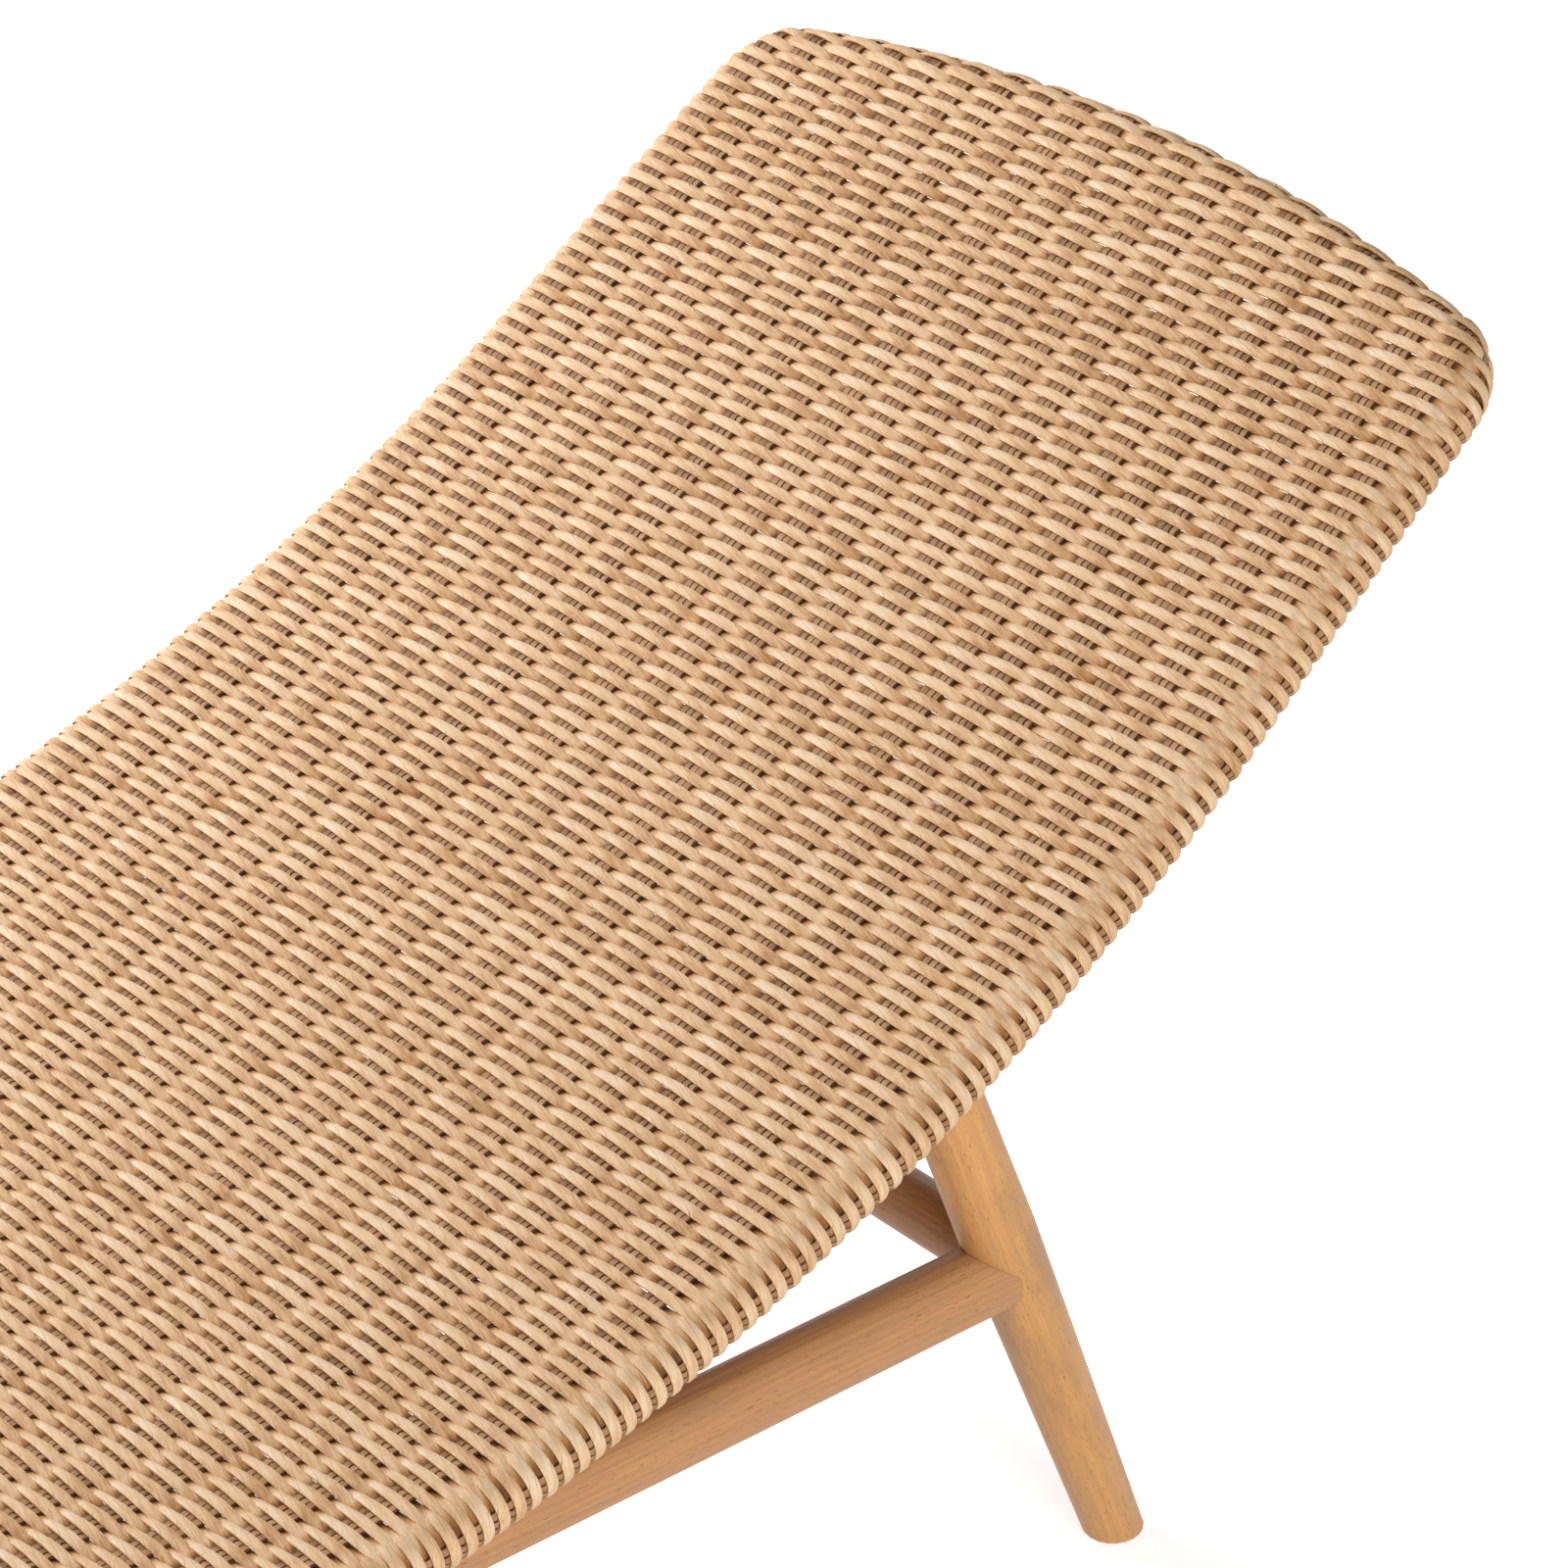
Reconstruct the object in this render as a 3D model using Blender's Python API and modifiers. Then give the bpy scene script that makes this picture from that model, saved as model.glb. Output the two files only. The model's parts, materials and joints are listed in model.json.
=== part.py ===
"""Chaise longue: a woven panel on a tubular metal frame, carried by a turned wooden base.

Units are metres. +X points to the head end, +Y to the left of someone lying on it, and the floor is z = 0.
Distances "along" the panel are measured on its top surface from the lowest point of the seat, positive
towards the head. "depth" is measured from that surface, square to it and downwards.
"""

import math

import bmesh
import bpy
from mathutils import Vector

# Side view of the panel
SEAT_LOW_X = -0.069
SEAT_LOW_Z = 0.294
SEAT_RADIUS = 1.374
BACK_SLOPE = math.radians(37.15)
BACK_LENGTH = 1.161
THIGH_SLOPE = math.radians(13)
KNEE_RADIUS = 0.80
CALF_SLOPE = math.radians(8)
FOOT_LENGTH = 0.928

# Plan view of the panel, at the centre line of the frame tube in its edge
HALF_WIDTH = 0.345
SIDE_BOW_RADIUS = 10.0
END_BOW_RADIUS = 1.2
CORNER_RADIUS = 0.042

# Weave and frame tubes
WEAVE_THICKNESS = 0.008
ROW_PITCH = 0.0056
ROW_GROOVE_DEPTH = 0.0024
ROW_END_FROM_BLEND = 0.004
ROW_GROOVE_RUN_OUT = 0.004
EDGE_THICKNESS = 0.0035
EDGE_WRAP_PAST_BOTTOM = math.radians(20)
TUBE_DIAMETER = 0.025
TUBE_WALL = 0.0016
CROSS_TUBE_DIAMETER = 0.018
CROSS_TUBE_WALL = 0.0015
EDGE_BLEND = 0.020
SPLICE_FROM_CORNER = 0.030

# Wooden base
LEG_INSET_Y = 0.270
LEG_SPREAD_X = 0.650
JOINT_HEIGHT = 0.226
LEG_LEAN = math.radians(21.5)
LEG_FOOT_DIAMETER = 0.035
LEG_BELLY_DIAMETER = 0.045
LEG_BELLY_HEIGHT = 0.275
LEG_TOP_DIAMETER = 0.042
LEG_MID_BULGE = 0.55
RAIL_DIAMETER = 0.0434
STRETCHER_DIAMETER = 0.037
EDGE_ROUNDING = 0.003
RAIL_END_TO_LEG_AXIS = 0.010

# Joinery and fasteners
DOWEL_DIAMETER = 0.012
DOWEL_IN_LEG = 0.014
DOWEL_IN_RAIL = 0.030
BRACKET_WIDTH = 0.030
BRACKET_THICKNESS = 0.004
BRACKET_LENGTH = 0.056
BRACKET_SEAT_DEPTH = 0.003
SEAT_CUT_MARGIN = 1.2
BRACKET_SCREW_PLACES = (0.015, 0.041)
SCREW_DIAMETER = 0.005
SCREW_LENGTH = 0.022
SCREW_HEAD_DIAMETER = 0.010
SCREW_HEAD_HEIGHT = 0.003
SCREW_HEAD_DOME = (0.7, 0.6)
BOSS_DIAMETER = 0.018
BOSS_SEAT_DEPTH = 0.002
BOLT_DIAMETER = 0.006
BOLT_REACH_IN_BOSS = 0.013
BOLT_HEAD_DIAMETER = 0.010
BOLT_HEAD_HEIGHT = 0.006
WASHER_DIAMETER = 0.016
WASHER_THICKNESS = 0.0015
COUNTERBORE_DEPTH = 0.012
GLIDE_DIAMETER = 0.024
GLIDE_THICKNESS = 0.005
GLIDE_PROUD = 0.002

# Clearances
FIT = 0.0003
TUBE_CLEARANCE = 0.0006
CROSS_TUBE_CLEARANCE = 0.0014

# Fineness of the meshes
STATION_STEP = 0.080
CORNER_STEPS = 4
END_STEPS = 3
ARC_STEP = math.radians(28)
TURNED_SIDES = 20
SMALL_SIDES = 12
LEG_TOP_STEPS = 4
SOLVER_STEPS = 40

TUBE_RADIUS = TUBE_DIAMETER / 2
CHANNEL_RADIUS = TUBE_RADIUS + TUBE_CLEARANCE
EDGE_RADIUS = CHANNEL_RADIUS + EDGE_THICKNESS
TUBE_DEPTH = WEAVE_THICKNESS + CROSS_TUBE_CLEARANCE + CROSS_TUBE_DIAMETER / 2
ENDS = {"head": 1, "foot": -1}
SIDES = {"left": 1, "right": -1}


def clear_scene():
    for obj in list(bpy.data.objects):
        bpy.data.objects.remove(obj, do_unlink=True)


def new_collection(name):
    collection = bpy.data.collections.new(name)
    bpy.context.scene.collection.children.link(collection)
    return collection


def new_material(name, colour, roughness, metallic):
    material = bpy.data.materials.new(name)
    material.use_nodes = True
    shader = material.node_tree.nodes["Principled BSDF"]
    shader.inputs["Base Color"].default_value = (*colour, 1)
    shader.inputs["Roughness"].default_value = roughness
    shader.inputs["Metallic"].default_value = metallic
    return material


clear_scene()
PARTS = new_collection("chaise_longue")
CUTTERS = new_collection("cutters")
WOVEN_STRAND = new_material("woven strand", (0.70, 0.47, 0.27), 0.6, 0.0)
OILED_WOOD = new_material("oiled hardwood", (0.55, 0.28, 0.10), 0.45, 0.0)
PLAIN_WOOD = new_material("beech dowel", (0.62, 0.42, 0.24), 0.6, 0.0)
COATED_METAL = new_material("powder-coated aluminium", (0.40, 0.27, 0.16), 0.5, 0.0)
STAINLESS = new_material("stainless steel", (0.60, 0.60, 0.58), 0.3, 1.0)
NYLON = new_material("nylon", (0.05, 0.04, 0.035), 0.5, 0.0)


# General helpers


def add_mesh(name, mesh, material, collection=PARTS):
    obj = bpy.data.objects.new(name, mesh)
    collection.objects.link(obj)
    mesh.materials.append(material)
    mesh.shade_smooth()
    mesh.set_sharp_from_angle(angle=math.radians(35))
    return obj


def mesh_from(name, shape):
    bmesh.ops.recalc_face_normals(shape, faces=shape.faces)
    mesh = bpy.data.meshes.new(name)
    shape.to_mesh(mesh)
    shape.free()
    return mesh


def point_along(obj, start, direction):
    """Puts the object's own +Z axis on a line from start."""
    obj.location = start
    obj.rotation_mode = "QUATERNION"
    obj.rotation_quaternion = Vector((0, 0, 1)).rotation_difference(direction)
    return obj


def rod(name, start, end, diameter, material, collection=PARTS, sides=SMALL_SIDES):
    """A solid round bar from start to end."""
    length = (end - start).length
    shape = bmesh.new()
    bmesh.ops.create_cone(
        shape, cap_ends=True, segments=sides, radius1=diameter / 2, radius2=diameter / 2, depth=length
    )
    bmesh.ops.translate(shape, verts=shape.verts, vec=(0, 0, length / 2))
    obj = add_mesh(name, mesh_from(name, shape), material, collection)
    return point_along(obj, start, (end - start).normalized())


def block(name, centre, size, direction, material, collection=PARTS):
    """A box of size (x, y, z), tilted the shortest way so that its own +Z axis points along direction."""
    shape = bmesh.new()
    bmesh.ops.create_cube(shape, size=1)
    bmesh.ops.scale(shape, verts=shape.verts, vec=size)
    obj = add_mesh(name, mesh_from(name, shape), material, collection)
    return point_along(obj, centre, direction)


def as_cutter(obj):
    obj.hide_render = True
    obj.display_type = "WIRE"
    return obj


def rod_cutter(name, start, end, diameter, sides=SMALL_SIDES):
    return as_cutter(rod(name, start, end, diameter, STAINLESS, CUTTERS, sides))


def cut(obj, cutter):
    modifier = obj.modifiers.new(f"cut {cutter.name}", "BOOLEAN")
    modifier.operation = "DIFFERENCE"
    modifier.solver = "EXACT"
    modifier.object = cutter


def round_edges(obj, width, segments=2):
    modifier = obj.modifiers.new("rounded edges", "BEVEL")
    modifier.width = width
    modifier.segments = segments
    modifier.limit_method = "ANGLE"
    modifier.angle_limit = math.radians(50)


def turned(name, profile, material, collection=PARTS, sides=TURNED_SIDES):
    """A solid turned about its own Z axis from (radius, height) points, listed from the top down."""
    shape = bmesh.new()
    corners = [shape.verts.new((radius, 0, height)) for radius, height in profile]
    for upper, lower in zip(corners, corners[1:]):
        shape.edges.new((upper, lower))
    mesh = bpy.data.meshes.new(name)
    shape.to_mesh(mesh)
    shape.free()
    obj = add_mesh(name, mesh, material, collection)
    screw = obj.modifiers.new("turn", "SCREW")
    screw.axis = "Z"
    screw.steps = sides
    screw.render_steps = sides
    screw.use_merge_vertices = True
    screw.merge_threshold = 0.00001
    screw.use_smooth_shade = True
    return obj


# The panel's surface: its side view, then its outline in plan


def profile(along):
    """The x, z and slope of the top surface. The slope is positive where it rises towards the head."""
    if along >= 0:
        back_arc = SEAT_RADIUS * BACK_SLOPE
        bend = min(along, back_arc) / SEAT_RADIUS
        straight = max(0.0, along - back_arc)
        x = SEAT_LOW_X + SEAT_RADIUS * math.sin(bend) + straight * math.cos(bend)
        z = SEAT_LOW_Z + SEAT_RADIUS * (1 - math.cos(bend)) + straight * math.sin(bend)
        return x, z, bend
    thigh_arc = SEAT_RADIUS * THIGH_SLOPE
    knee_arc = KNEE_RADIUS * (THIGH_SLOPE + CALF_SLOPE)
    bend = min(-along, thigh_arc) / SEAT_RADIUS
    x = SEAT_LOW_X - SEAT_RADIUS * math.sin(bend)
    z = SEAT_LOW_Z + SEAT_RADIUS * (1 - math.cos(bend))
    over_knee = min(max(0.0, -along - thigh_arc), knee_arc)
    rise = bend - over_knee / KNEE_RADIUS
    x -= KNEE_RADIUS * (math.sin(bend) - math.sin(rise))
    z += KNEE_RADIUS * (math.cos(rise) - math.cos(bend))
    straight = max(0.0, -along - thigh_arc - knee_arc)
    x -= straight * math.cos(rise)
    z += straight * math.sin(rise)
    return x, z, -rise


def on_panel(along, y, depth):
    x, z, slope = profile(along)
    return Vector((x + depth * math.sin(slope), y, z - depth * math.cos(slope)))


def half_width(along):
    x = profile(along)[0]
    return HALF_WIDTH - x * x / (2 * SIDE_BOW_RADIUS)


def end_along(end, y):
    length = BACK_LENGTH if end > 0 else FOOT_LENGTH
    return end * (length - y * y / (2 * END_BOW_RADIUS))


def corner_arc(end):
    """The rounded corner on the +Y side, as (along, y) points from the side round to the end."""
    along = end_along(end, HALF_WIDTH)
    for _ in range(SOLVER_STEPS):
        along = end_along(end, half_width(along))
    corner = Vector((along, half_width(along)))
    before = along - end * CORNER_RADIUS
    towards_end = (corner - Vector((before, half_width(before)))).normalized()
    towards_middle = Vector((end * corner.y / END_BOW_RADIUS, -1)).normalized()
    turn = towards_end.angle(towards_middle)
    inwards = (towards_middle - towards_end * towards_end.dot(towards_middle)).normalized()
    start = corner - towards_end * CORNER_RADIUS * math.tan(turn / 2)
    points = []
    for step in range(CORNER_STEPS + 1):
        angle = turn * step / CORNER_STEPS
        points.append(
            start + CORNER_RADIUS * (math.sin(angle) * towards_end + (1 - math.cos(angle)) * inwards)
        )
    return points


def side_line():
    """The +Y side between its corners, from foot to head, as (along, y) points."""
    first = corner_arc(ENDS["foot"])[0]
    last = corner_arc(ENDS["head"])[0]
    count = round((last.x - first.x) / STATION_STEP)
    points = [first]
    for step in range(1, count):
        along = first.x + (last.x - first.x) * step / count
        points.append(Vector((along, half_width(along))))
    points.append(last)
    return points


def end_line(end):
    """Half of an end, from the corner to the middle, as (along, y) points."""
    corner = corner_arc(end)[-1]
    points = [corner]
    for step in range(1, END_STEPS + 1):
        y = corner.y * (1 - step / END_STEPS)
        points.append(Vector((end_along(end, y), y)))
    return points


def half_outline():
    """The +Y half of the frame's centre line, from the middle of the foot end to that of the head end."""
    foot, head = ENDS["foot"], ENDS["head"]
    points = end_line(foot)[::-1]
    points += corner_arc(foot)[::-1][1:]
    points += side_line()[1:]
    points += corner_arc(head)[1:]
    points += end_line(head)[1:]
    return points


def mirrored(point):
    return Vector((point.x, -point.y))


def outline():
    """The whole centre line, closed, with the direction outwards at each point."""
    half = half_outline()
    points = half + [mirrored(point) for point in half[-2:0:-1]]
    outwards = []
    for index, point in enumerate(points):
        before = (point - points[index - 1]).normalized()
        after = (points[(index + 1) % len(points)] - point).normalized()
        direction = (before + after).normalized()
        out = Vector((-direction.y, direction.x))
        outwards.append(out / direction.dot(before))
    return points, outwards


# Woven panel: a thin sheet, ribbed by its rows of weft, whose edge wraps round the frame tube


def edge_section():
    """The section through the sheet's edge, as (outwards, depth) points from its top to its underside."""
    outer_start = math.radians(80)
    wrap_end = -math.pi / 2 - EDGE_WRAP_PAST_BOTTOM
    inner_end = math.pi - math.asin((TUBE_DEPTH - WEAVE_THICKNESS) / CHANNEL_RADIUS)
    points = [(-EDGE_BLEND, 0.0)]
    for radius, start, end in ((EDGE_RADIUS, outer_start, wrap_end), (CHANNEL_RADIUS, wrap_end, inner_end)):
        steps = math.ceil(abs(end - start) / ARC_STEP)
        for step in range(steps + 1):
            angle = start + (end - start) * step / steps
            points.append((radius * math.cos(angle), TUBE_DEPTH - radius * math.sin(angle)))
    points.append((-EDGE_BLEND, WEAVE_THICKNESS))
    return points


def row_station(shape, ring, index):
    """Four points across the top at one station: its two edges, and between them the ends of a row's ridge."""
    left, right = ring[index], ring[-index]
    inset = Vector((0, ROW_END_FROM_BLEND, 0))
    return [left, shape.verts.new(left.co - inset), shape.verts.new(right.co + inset), right]


def edge_fan(shape, corners, ridge_ends):
    """Joins the edge of the sheet between two stations to the ends of the ridges beside it."""
    middle = len(ridge_ends) // 2
    for index, pair in enumerate(zip(ridge_ends, ridge_ends[1:])):
        shape.faces.new((corners[index >= middle], *pair))
    shape.faces.new((*corners, ridge_ends[middle]))


def weft_rows(shape, before, after):
    """The rows of weft between two stations: ridges across the sheet, with a V groove after each."""
    chord = after[0].co - before[0].co
    length = math.hypot(chord.x, chord.z)
    down = Vector((chord.z, 0, -chord.x)) / length * ROW_GROOVE_DEPTH
    inwards = Vector((0, ROW_GROOVE_RUN_OUT, 0))
    count = max(1, round(length / ROW_PITCH))
    ridges = [before[1:3]]
    for row in range(1, count):
        share = row / count
        ridges.append([shape.verts.new(a.co.lerp(b.co, share)) for a, b in zip(before[1:3], after[1:3])])
    ridges.append(after[1:3])
    for (left, right), (next_left, next_right) in zip(ridges, ridges[1:]):
        groove_left = shape.verts.new((left.co + next_left.co) / 2 + down - inwards)
        groove_right = shape.verts.new((right.co + next_right.co) / 2 + down + inwards)
        shape.faces.new((left, right, groove_right, groove_left))
        shape.faces.new((groove_left, groove_right, next_right, next_left))
        shape.faces.new((left, groove_left, next_left))
        shape.faces.new((right, groove_right, next_right))
    edge_fan(shape, (before[0], after[0]), [left for left, _ in ridges])
    edge_fan(shape, (before[3], after[3]), [right for _, right in ridges])


def ribbed_top(shape, ring, half_count):
    """The top of the sheet, with a rib for each row of weft, and plain tips in the middle of both ends."""
    last = half_count - 1
    stations = [row_station(shape, ring, index) for index in range(1, last)]
    for before, after in zip(stations, stations[1:]):
        weft_rows(shape, before, after)
    for tip, station in ((ring[0], stations[0]), (ring[last], stations[-1])):
        for pair in zip(station, station[1:]):
            shape.faces.new((tip, *pair))


def woven_panel():
    points, outwards = outline()
    half_count = len(half_outline())
    shape = bmesh.new()
    rings = []
    for out, depth in edge_section():
        ring = []
        for point, outward in zip(points, outwards):
            place = point + outward * out
            ring.append(shape.verts.new(on_panel(place.x, place.y, depth)))
        rings.append(ring)
    for ring, following in zip(rings, rings[1:]):
        for index in range(len(ring)):
            shape.faces.new((ring[index - 1], ring[index], following[index], following[index - 1]))
    ribbed_top(shape, rings[0], half_count)
    underside = rings[-1]
    for index in range(half_count - 1):
        corners = (underside[index], underside[index + 1], underside[-index - 1], underside[-index])
        shape.faces.new(dict.fromkeys(corners))
    add_mesh("woven_panel", mesh_from("woven_panel", shape), WOVEN_STRAND)


# Metal frame: tubes in the panel's edge and cross tubes under the weave


def tube_curve(name, route, diameter, caps, collection):
    curve = bpy.data.curves.new(name, "CURVE")
    curve.dimensions = "3D"
    curve.bevel_depth = diameter / 2
    curve.bevel_resolution = 3
    curve.use_fill_caps = caps
    spline = curve.splines.new("POLY")
    spline.points.add(len(route) - 1)
    for spline_point, place in zip(spline.points, route):
        spline_point.co = (*place, 1)
    obj = bpy.data.objects.new(name, curve)
    collection.objects.link(obj)
    return obj


def curve_to_mesh(obj, material, collection):
    """The same shape as a mesh object, with its caps joined to its wall."""
    graph = bpy.context.evaluated_depsgraph_get()
    name = obj.name
    mesh = bpy.data.meshes.new_from_object(obj.evaluated_get(graph))
    shape = bmesh.new()
    shape.from_mesh(mesh)
    bmesh.ops.remove_doubles(shape, verts=shape.verts, dist=0.00001)
    bmesh.ops.recalc_face_normals(shape, faces=shape.faces)
    shape.to_mesh(mesh)
    shape.free()
    matrix = obj.matrix_world.copy()
    bpy.data.objects.remove(obj, do_unlink=True)
    result = add_mesh(name, mesh, material, collection)
    result.name = name
    result.matrix_world = matrix
    return result


def hollow_tube(name, route, diameter, wall):
    obj = curve_to_mesh(tube_curve(name, route, diameter, False, PARTS), COATED_METAL, PARTS)
    solidify = obj.modifiers.new("wall", "SOLIDIFY")
    solidify.thickness = wall
    solidify.offset = -1
    return obj


def shortened(route):
    """The route with half a fitting gap taken off each end."""
    first = route[0] + (route[1] - route[0]).normalized() * FIT / 2
    last = route[-1] + (route[-2] - route[-1]).normalized() * FIT / 2
    return [first, *route[1:-1], last]


def on_frame(point, side):
    """A point of the +Y half of the outline, on the frame tube's centre line at that side."""
    return on_panel(point.x, side * point.y, TUBE_DEPTH)


def side_route(side):
    """The side tube's centre line, cut off at the straight butt joints beside the corners."""
    route = [on_frame(point, side) for point in side_line()]
    first = route[0] + (route[1] - route[0]).normalized() * SPLICE_FROM_CORNER
    last = route[-1] + (route[-2] - route[-1]).normalized() * SPLICE_FROM_CORNER
    return [first, *route[1:-1], last]


def end_route(end):
    """The end tube's centre line, from its joint with the left side tube to that with the right one."""
    joint = -1 if end > 0 else 0
    half = corner_arc(end) + end_line(end)[1:]
    left = [side_route(1)[joint]] + [on_frame(point, 1) for point in half]
    right = [side_route(-1)[joint]] + [on_frame(point, -1) for point in half[:-1]]
    return left + right[::-1]


def frame_tubes():
    for side, sign in SIDES.items():
        hollow_tube(f"side_tube_{side}", shortened(side_route(sign)), TUBE_DIAMETER, TUBE_WALL)
    for end, sign in ENDS.items():
        hollow_tube(f"{end}_tube", shortened(end_route(sign)), TUBE_DIAMETER, TUBE_WALL)


def side_tube_cutters():
    cutters = []
    for side, sign in SIDES.items():
        curve = tube_curve(f"cope_{side}", side_route(sign), TUBE_DIAMETER + 2 * FIT, True, CUTTERS)
        cutters.append(as_cutter(curve_to_mesh(curve, COATED_METAL, CUTTERS)))
    return cutters


def cross_tube(name, along, cutters):
    """A cross tube, its ends coped to the side tubes."""
    reach = half_width(along)
    route = [on_panel(along, -reach, TUBE_DEPTH), on_panel(along, reach, TUBE_DEPTH)]
    obj = hollow_tube(name, route, CROSS_TUBE_DIAMETER, CROSS_TUBE_WALL)
    for cutter in cutters:
        cut(obj, cutter)


# Places on the base


def leg_joint(end, side):
    """Where the rail's and stretcher's centre lines meet that of the leg."""
    return Vector((end * LEG_SPREAD_X, side * LEG_INSET_Y, JOINT_HEIGHT))


def leg_up(end):
    """The direction up the leg's centre line: the tops lean towards the middle of the lounge."""
    return Vector((-end * math.sin(LEG_LEAN), 0, math.cos(LEG_LEAN)))


def depth_and_along(place, start):
    """How deep a place lies under the panel, and how far along, found from a first guess."""
    along = start
    for _ in range(SOLVER_STEPS):
        x, z, slope = profile(along)
        along += (place.x - x) * math.cos(slope) + (place.z - z) * math.sin(slope)
    x, z, slope = profile(along)
    return (place.x - x) * math.sin(slope) - (place.z - z) * math.cos(slope), along


def leg_reach(end):
    """The distance up the leg from its joint to the cross tube's centre, and where along the panel it is."""
    joint = leg_joint(end, 1)
    low, high = 0.0, LEG_SPREAD_X
    for _ in range(SOLVER_STEPS):
        middle = (low + high) / 2
        depth, along = depth_and_along(joint + leg_up(end) * middle, end * LEG_SPREAD_X)
        if depth > TUBE_DEPTH:
            low = middle
        else:
            high = middle
    return low, along


def leg_top(end):
    """The distance up the leg from its joint to its square-cut top, just under the cross tube."""
    return leg_reach(end)[0] - CROSS_TUBE_DIAMETER / 2 - FIT


def leg_foot(end, side):
    """The point of the leg's centre line at floor height."""
    joint = leg_joint(end, side)
    return joint - leg_up(end) * JOINT_HEIGHT / math.cos(LEG_LEAN)


# Legs, with their mortises, bracket seats and glide recesses


def leg_profile(length, extra):
    """Turned profile of a leg of that length above the floor, top first, grown by extra all round."""
    foot_run_out = LEG_FOOT_DIAMETER
    top = LEG_TOP_DIAMETER / 2 + extra
    belly = LEG_BELLY_DIAMETER / 2 + extra
    foot = LEG_FOOT_DIAMETER / 2 + extra
    below = foot - (belly - foot) * foot_run_out / LEG_BELLY_HEIGHT
    rim = EDGE_ROUNDING
    crown = length + extra
    bevel = rim * (1 - math.sin(math.pi / 4))
    points = [(0, crown), (top - rim, crown), (top - bevel, crown - bevel), (top, crown - rim)]
    for step in range(1, LEG_TOP_STEPS):
        share = step / LEG_TOP_STEPS
        height = length + (LEG_BELLY_HEIGHT - length) * share
        points.append((top + (belly - top) * math.sin(share * math.pi / 2), height))
    points.append((belly, LEG_BELLY_HEIGHT))
    points.append((foot + (belly - foot) * LEG_MID_BULGE, LEG_BELLY_HEIGHT / 2))
    points += [(below, -foot_run_out), (0, -foot_run_out)]
    return points


def leg(end_name, side_name):
    end, side = ENDS[end_name], SIDES[side_name]
    name = f"leg_{end_name}_{side_name}"
    joint, up = leg_joint(end, side), leg_up(end)
    foot = leg_foot(end, side)
    length = (joint - foot).length + leg_top(end)
    obj = point_along(turned(name, leg_profile(length, 0), OILED_WOOD), foot, up)

    floor_side = 4 * LEG_FOOT_DIAMETER
    floor_size = Vector((floor_side, floor_side, floor_side))
    floor_centre = Vector((foot.x, foot.y, GLIDE_PROUD - floor_side / 2))
    floor = block(f"floor_{name}", floor_centre, floor_size, Vector((0, 0, 1)), NYLON, CUTTERS)
    cut(obj, as_cutter(floor))
    round_edges(obj, EDGE_ROUNDING)

    for hole in dowel_holes(end_name, side_name):
        cut(obj, hole)
    cut(obj, bracket_seat_cutter(name, end, side))
    for index, (start, finish) in enumerate(bracket_screw_lines(end, side)):
        cut(obj, rod_cutter(f"pilot_{index}_{name}", start, finish, SCREW_DIAMETER + 2 * FIT))
    recess_bottom = Vector((foot.x, foot.y, -GLIDE_THICKNESS))
    recess_top = Vector((foot.x, foot.y, GLIDE_THICKNESS + FIT))
    cut(obj, rod_cutter(f"recess_{name}", recess_bottom, recess_top, GLIDE_DIAMETER + 2 * FIT, TURNED_SIDES))


def leg_cutter(end_name, side_name):
    """The leg grown by a fitting gap, which copes the ends of rails and stretchers."""
    end, side = ENDS[end_name], SIDES[side_name]
    foot = leg_foot(end, side)
    length = (leg_joint(end, side) - foot).length + leg_top(end)
    name = f"cope_leg_{end_name}_{side_name}"
    obj = turned(name, leg_profile(length, FIT), OILED_WOOD, CUTTERS)
    return as_cutter(point_along(obj, foot, leg_up(end)))


# Rails, stretchers and their dowels


def dowel_line(joint, towards, extra):
    """A dowel's ends: from inside the leg to inside the rail, with extra length at each end."""
    belly = LEG_BELLY_DIAMETER / 2
    inner = joint + towards * (belly - DOWEL_IN_LEG - extra)
    outer = joint + towards * (belly + DOWEL_IN_RAIL + extra)
    return inner, outer


def dowel_directions(end, side):
    return {"rail": Vector((-end, 0, 0)), "stretcher": Vector((0, -side, 0))}


def dowel_holes(end_name, side_name):
    end, side = ENDS[end_name], SIDES[side_name]
    holes = []
    for kind in dowel_directions(end, side):
        holes.append(bpy.data.objects[f"hole_{kind}_{end_name}_{side_name}"])
    return holes


def dowels_and_holes():
    for end_name, end in ENDS.items():
        for side_name, side in SIDES.items():
            joint = leg_joint(end, side)
            for kind, towards in dowel_directions(end, side).items():
                place = f"{kind}_{end_name}_{side_name}"
                inner, outer = dowel_line(joint, towards, 0)
                rod(f"dowel_{place}", inner, outer, DOWEL_DIAMETER, PLAIN_WOOD)
                inner, outer = dowel_line(joint, towards, FIT)
                rod_cutter(f"hole_{place}", inner, outer, DOWEL_DIAMETER + 2 * FIT)


def rail_line(side):
    """The ends of a rail's centre line, just short of those of its legs."""
    short = Vector((RAIL_END_TO_LEG_AXIS, 0, 0))
    return leg_joint(-1, side) + short, leg_joint(1, side) - short


def side_rail(side_name, leg_cutters):
    foot, head = rail_line(SIDES[side_name])
    obj = rod(f"side_rail_{side_name}", foot, head, RAIL_DIAMETER, OILED_WOOD, sides=TURNED_SIDES)
    for end_name in ENDS:
        cut(obj, leg_cutters[end_name, side_name])
        cut(obj, bpy.data.objects[f"hole_rail_{end_name}_{side_name}"])
    for cutter in rail_bolt_cutters(side_name):
        cut(obj, cutter)


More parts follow.
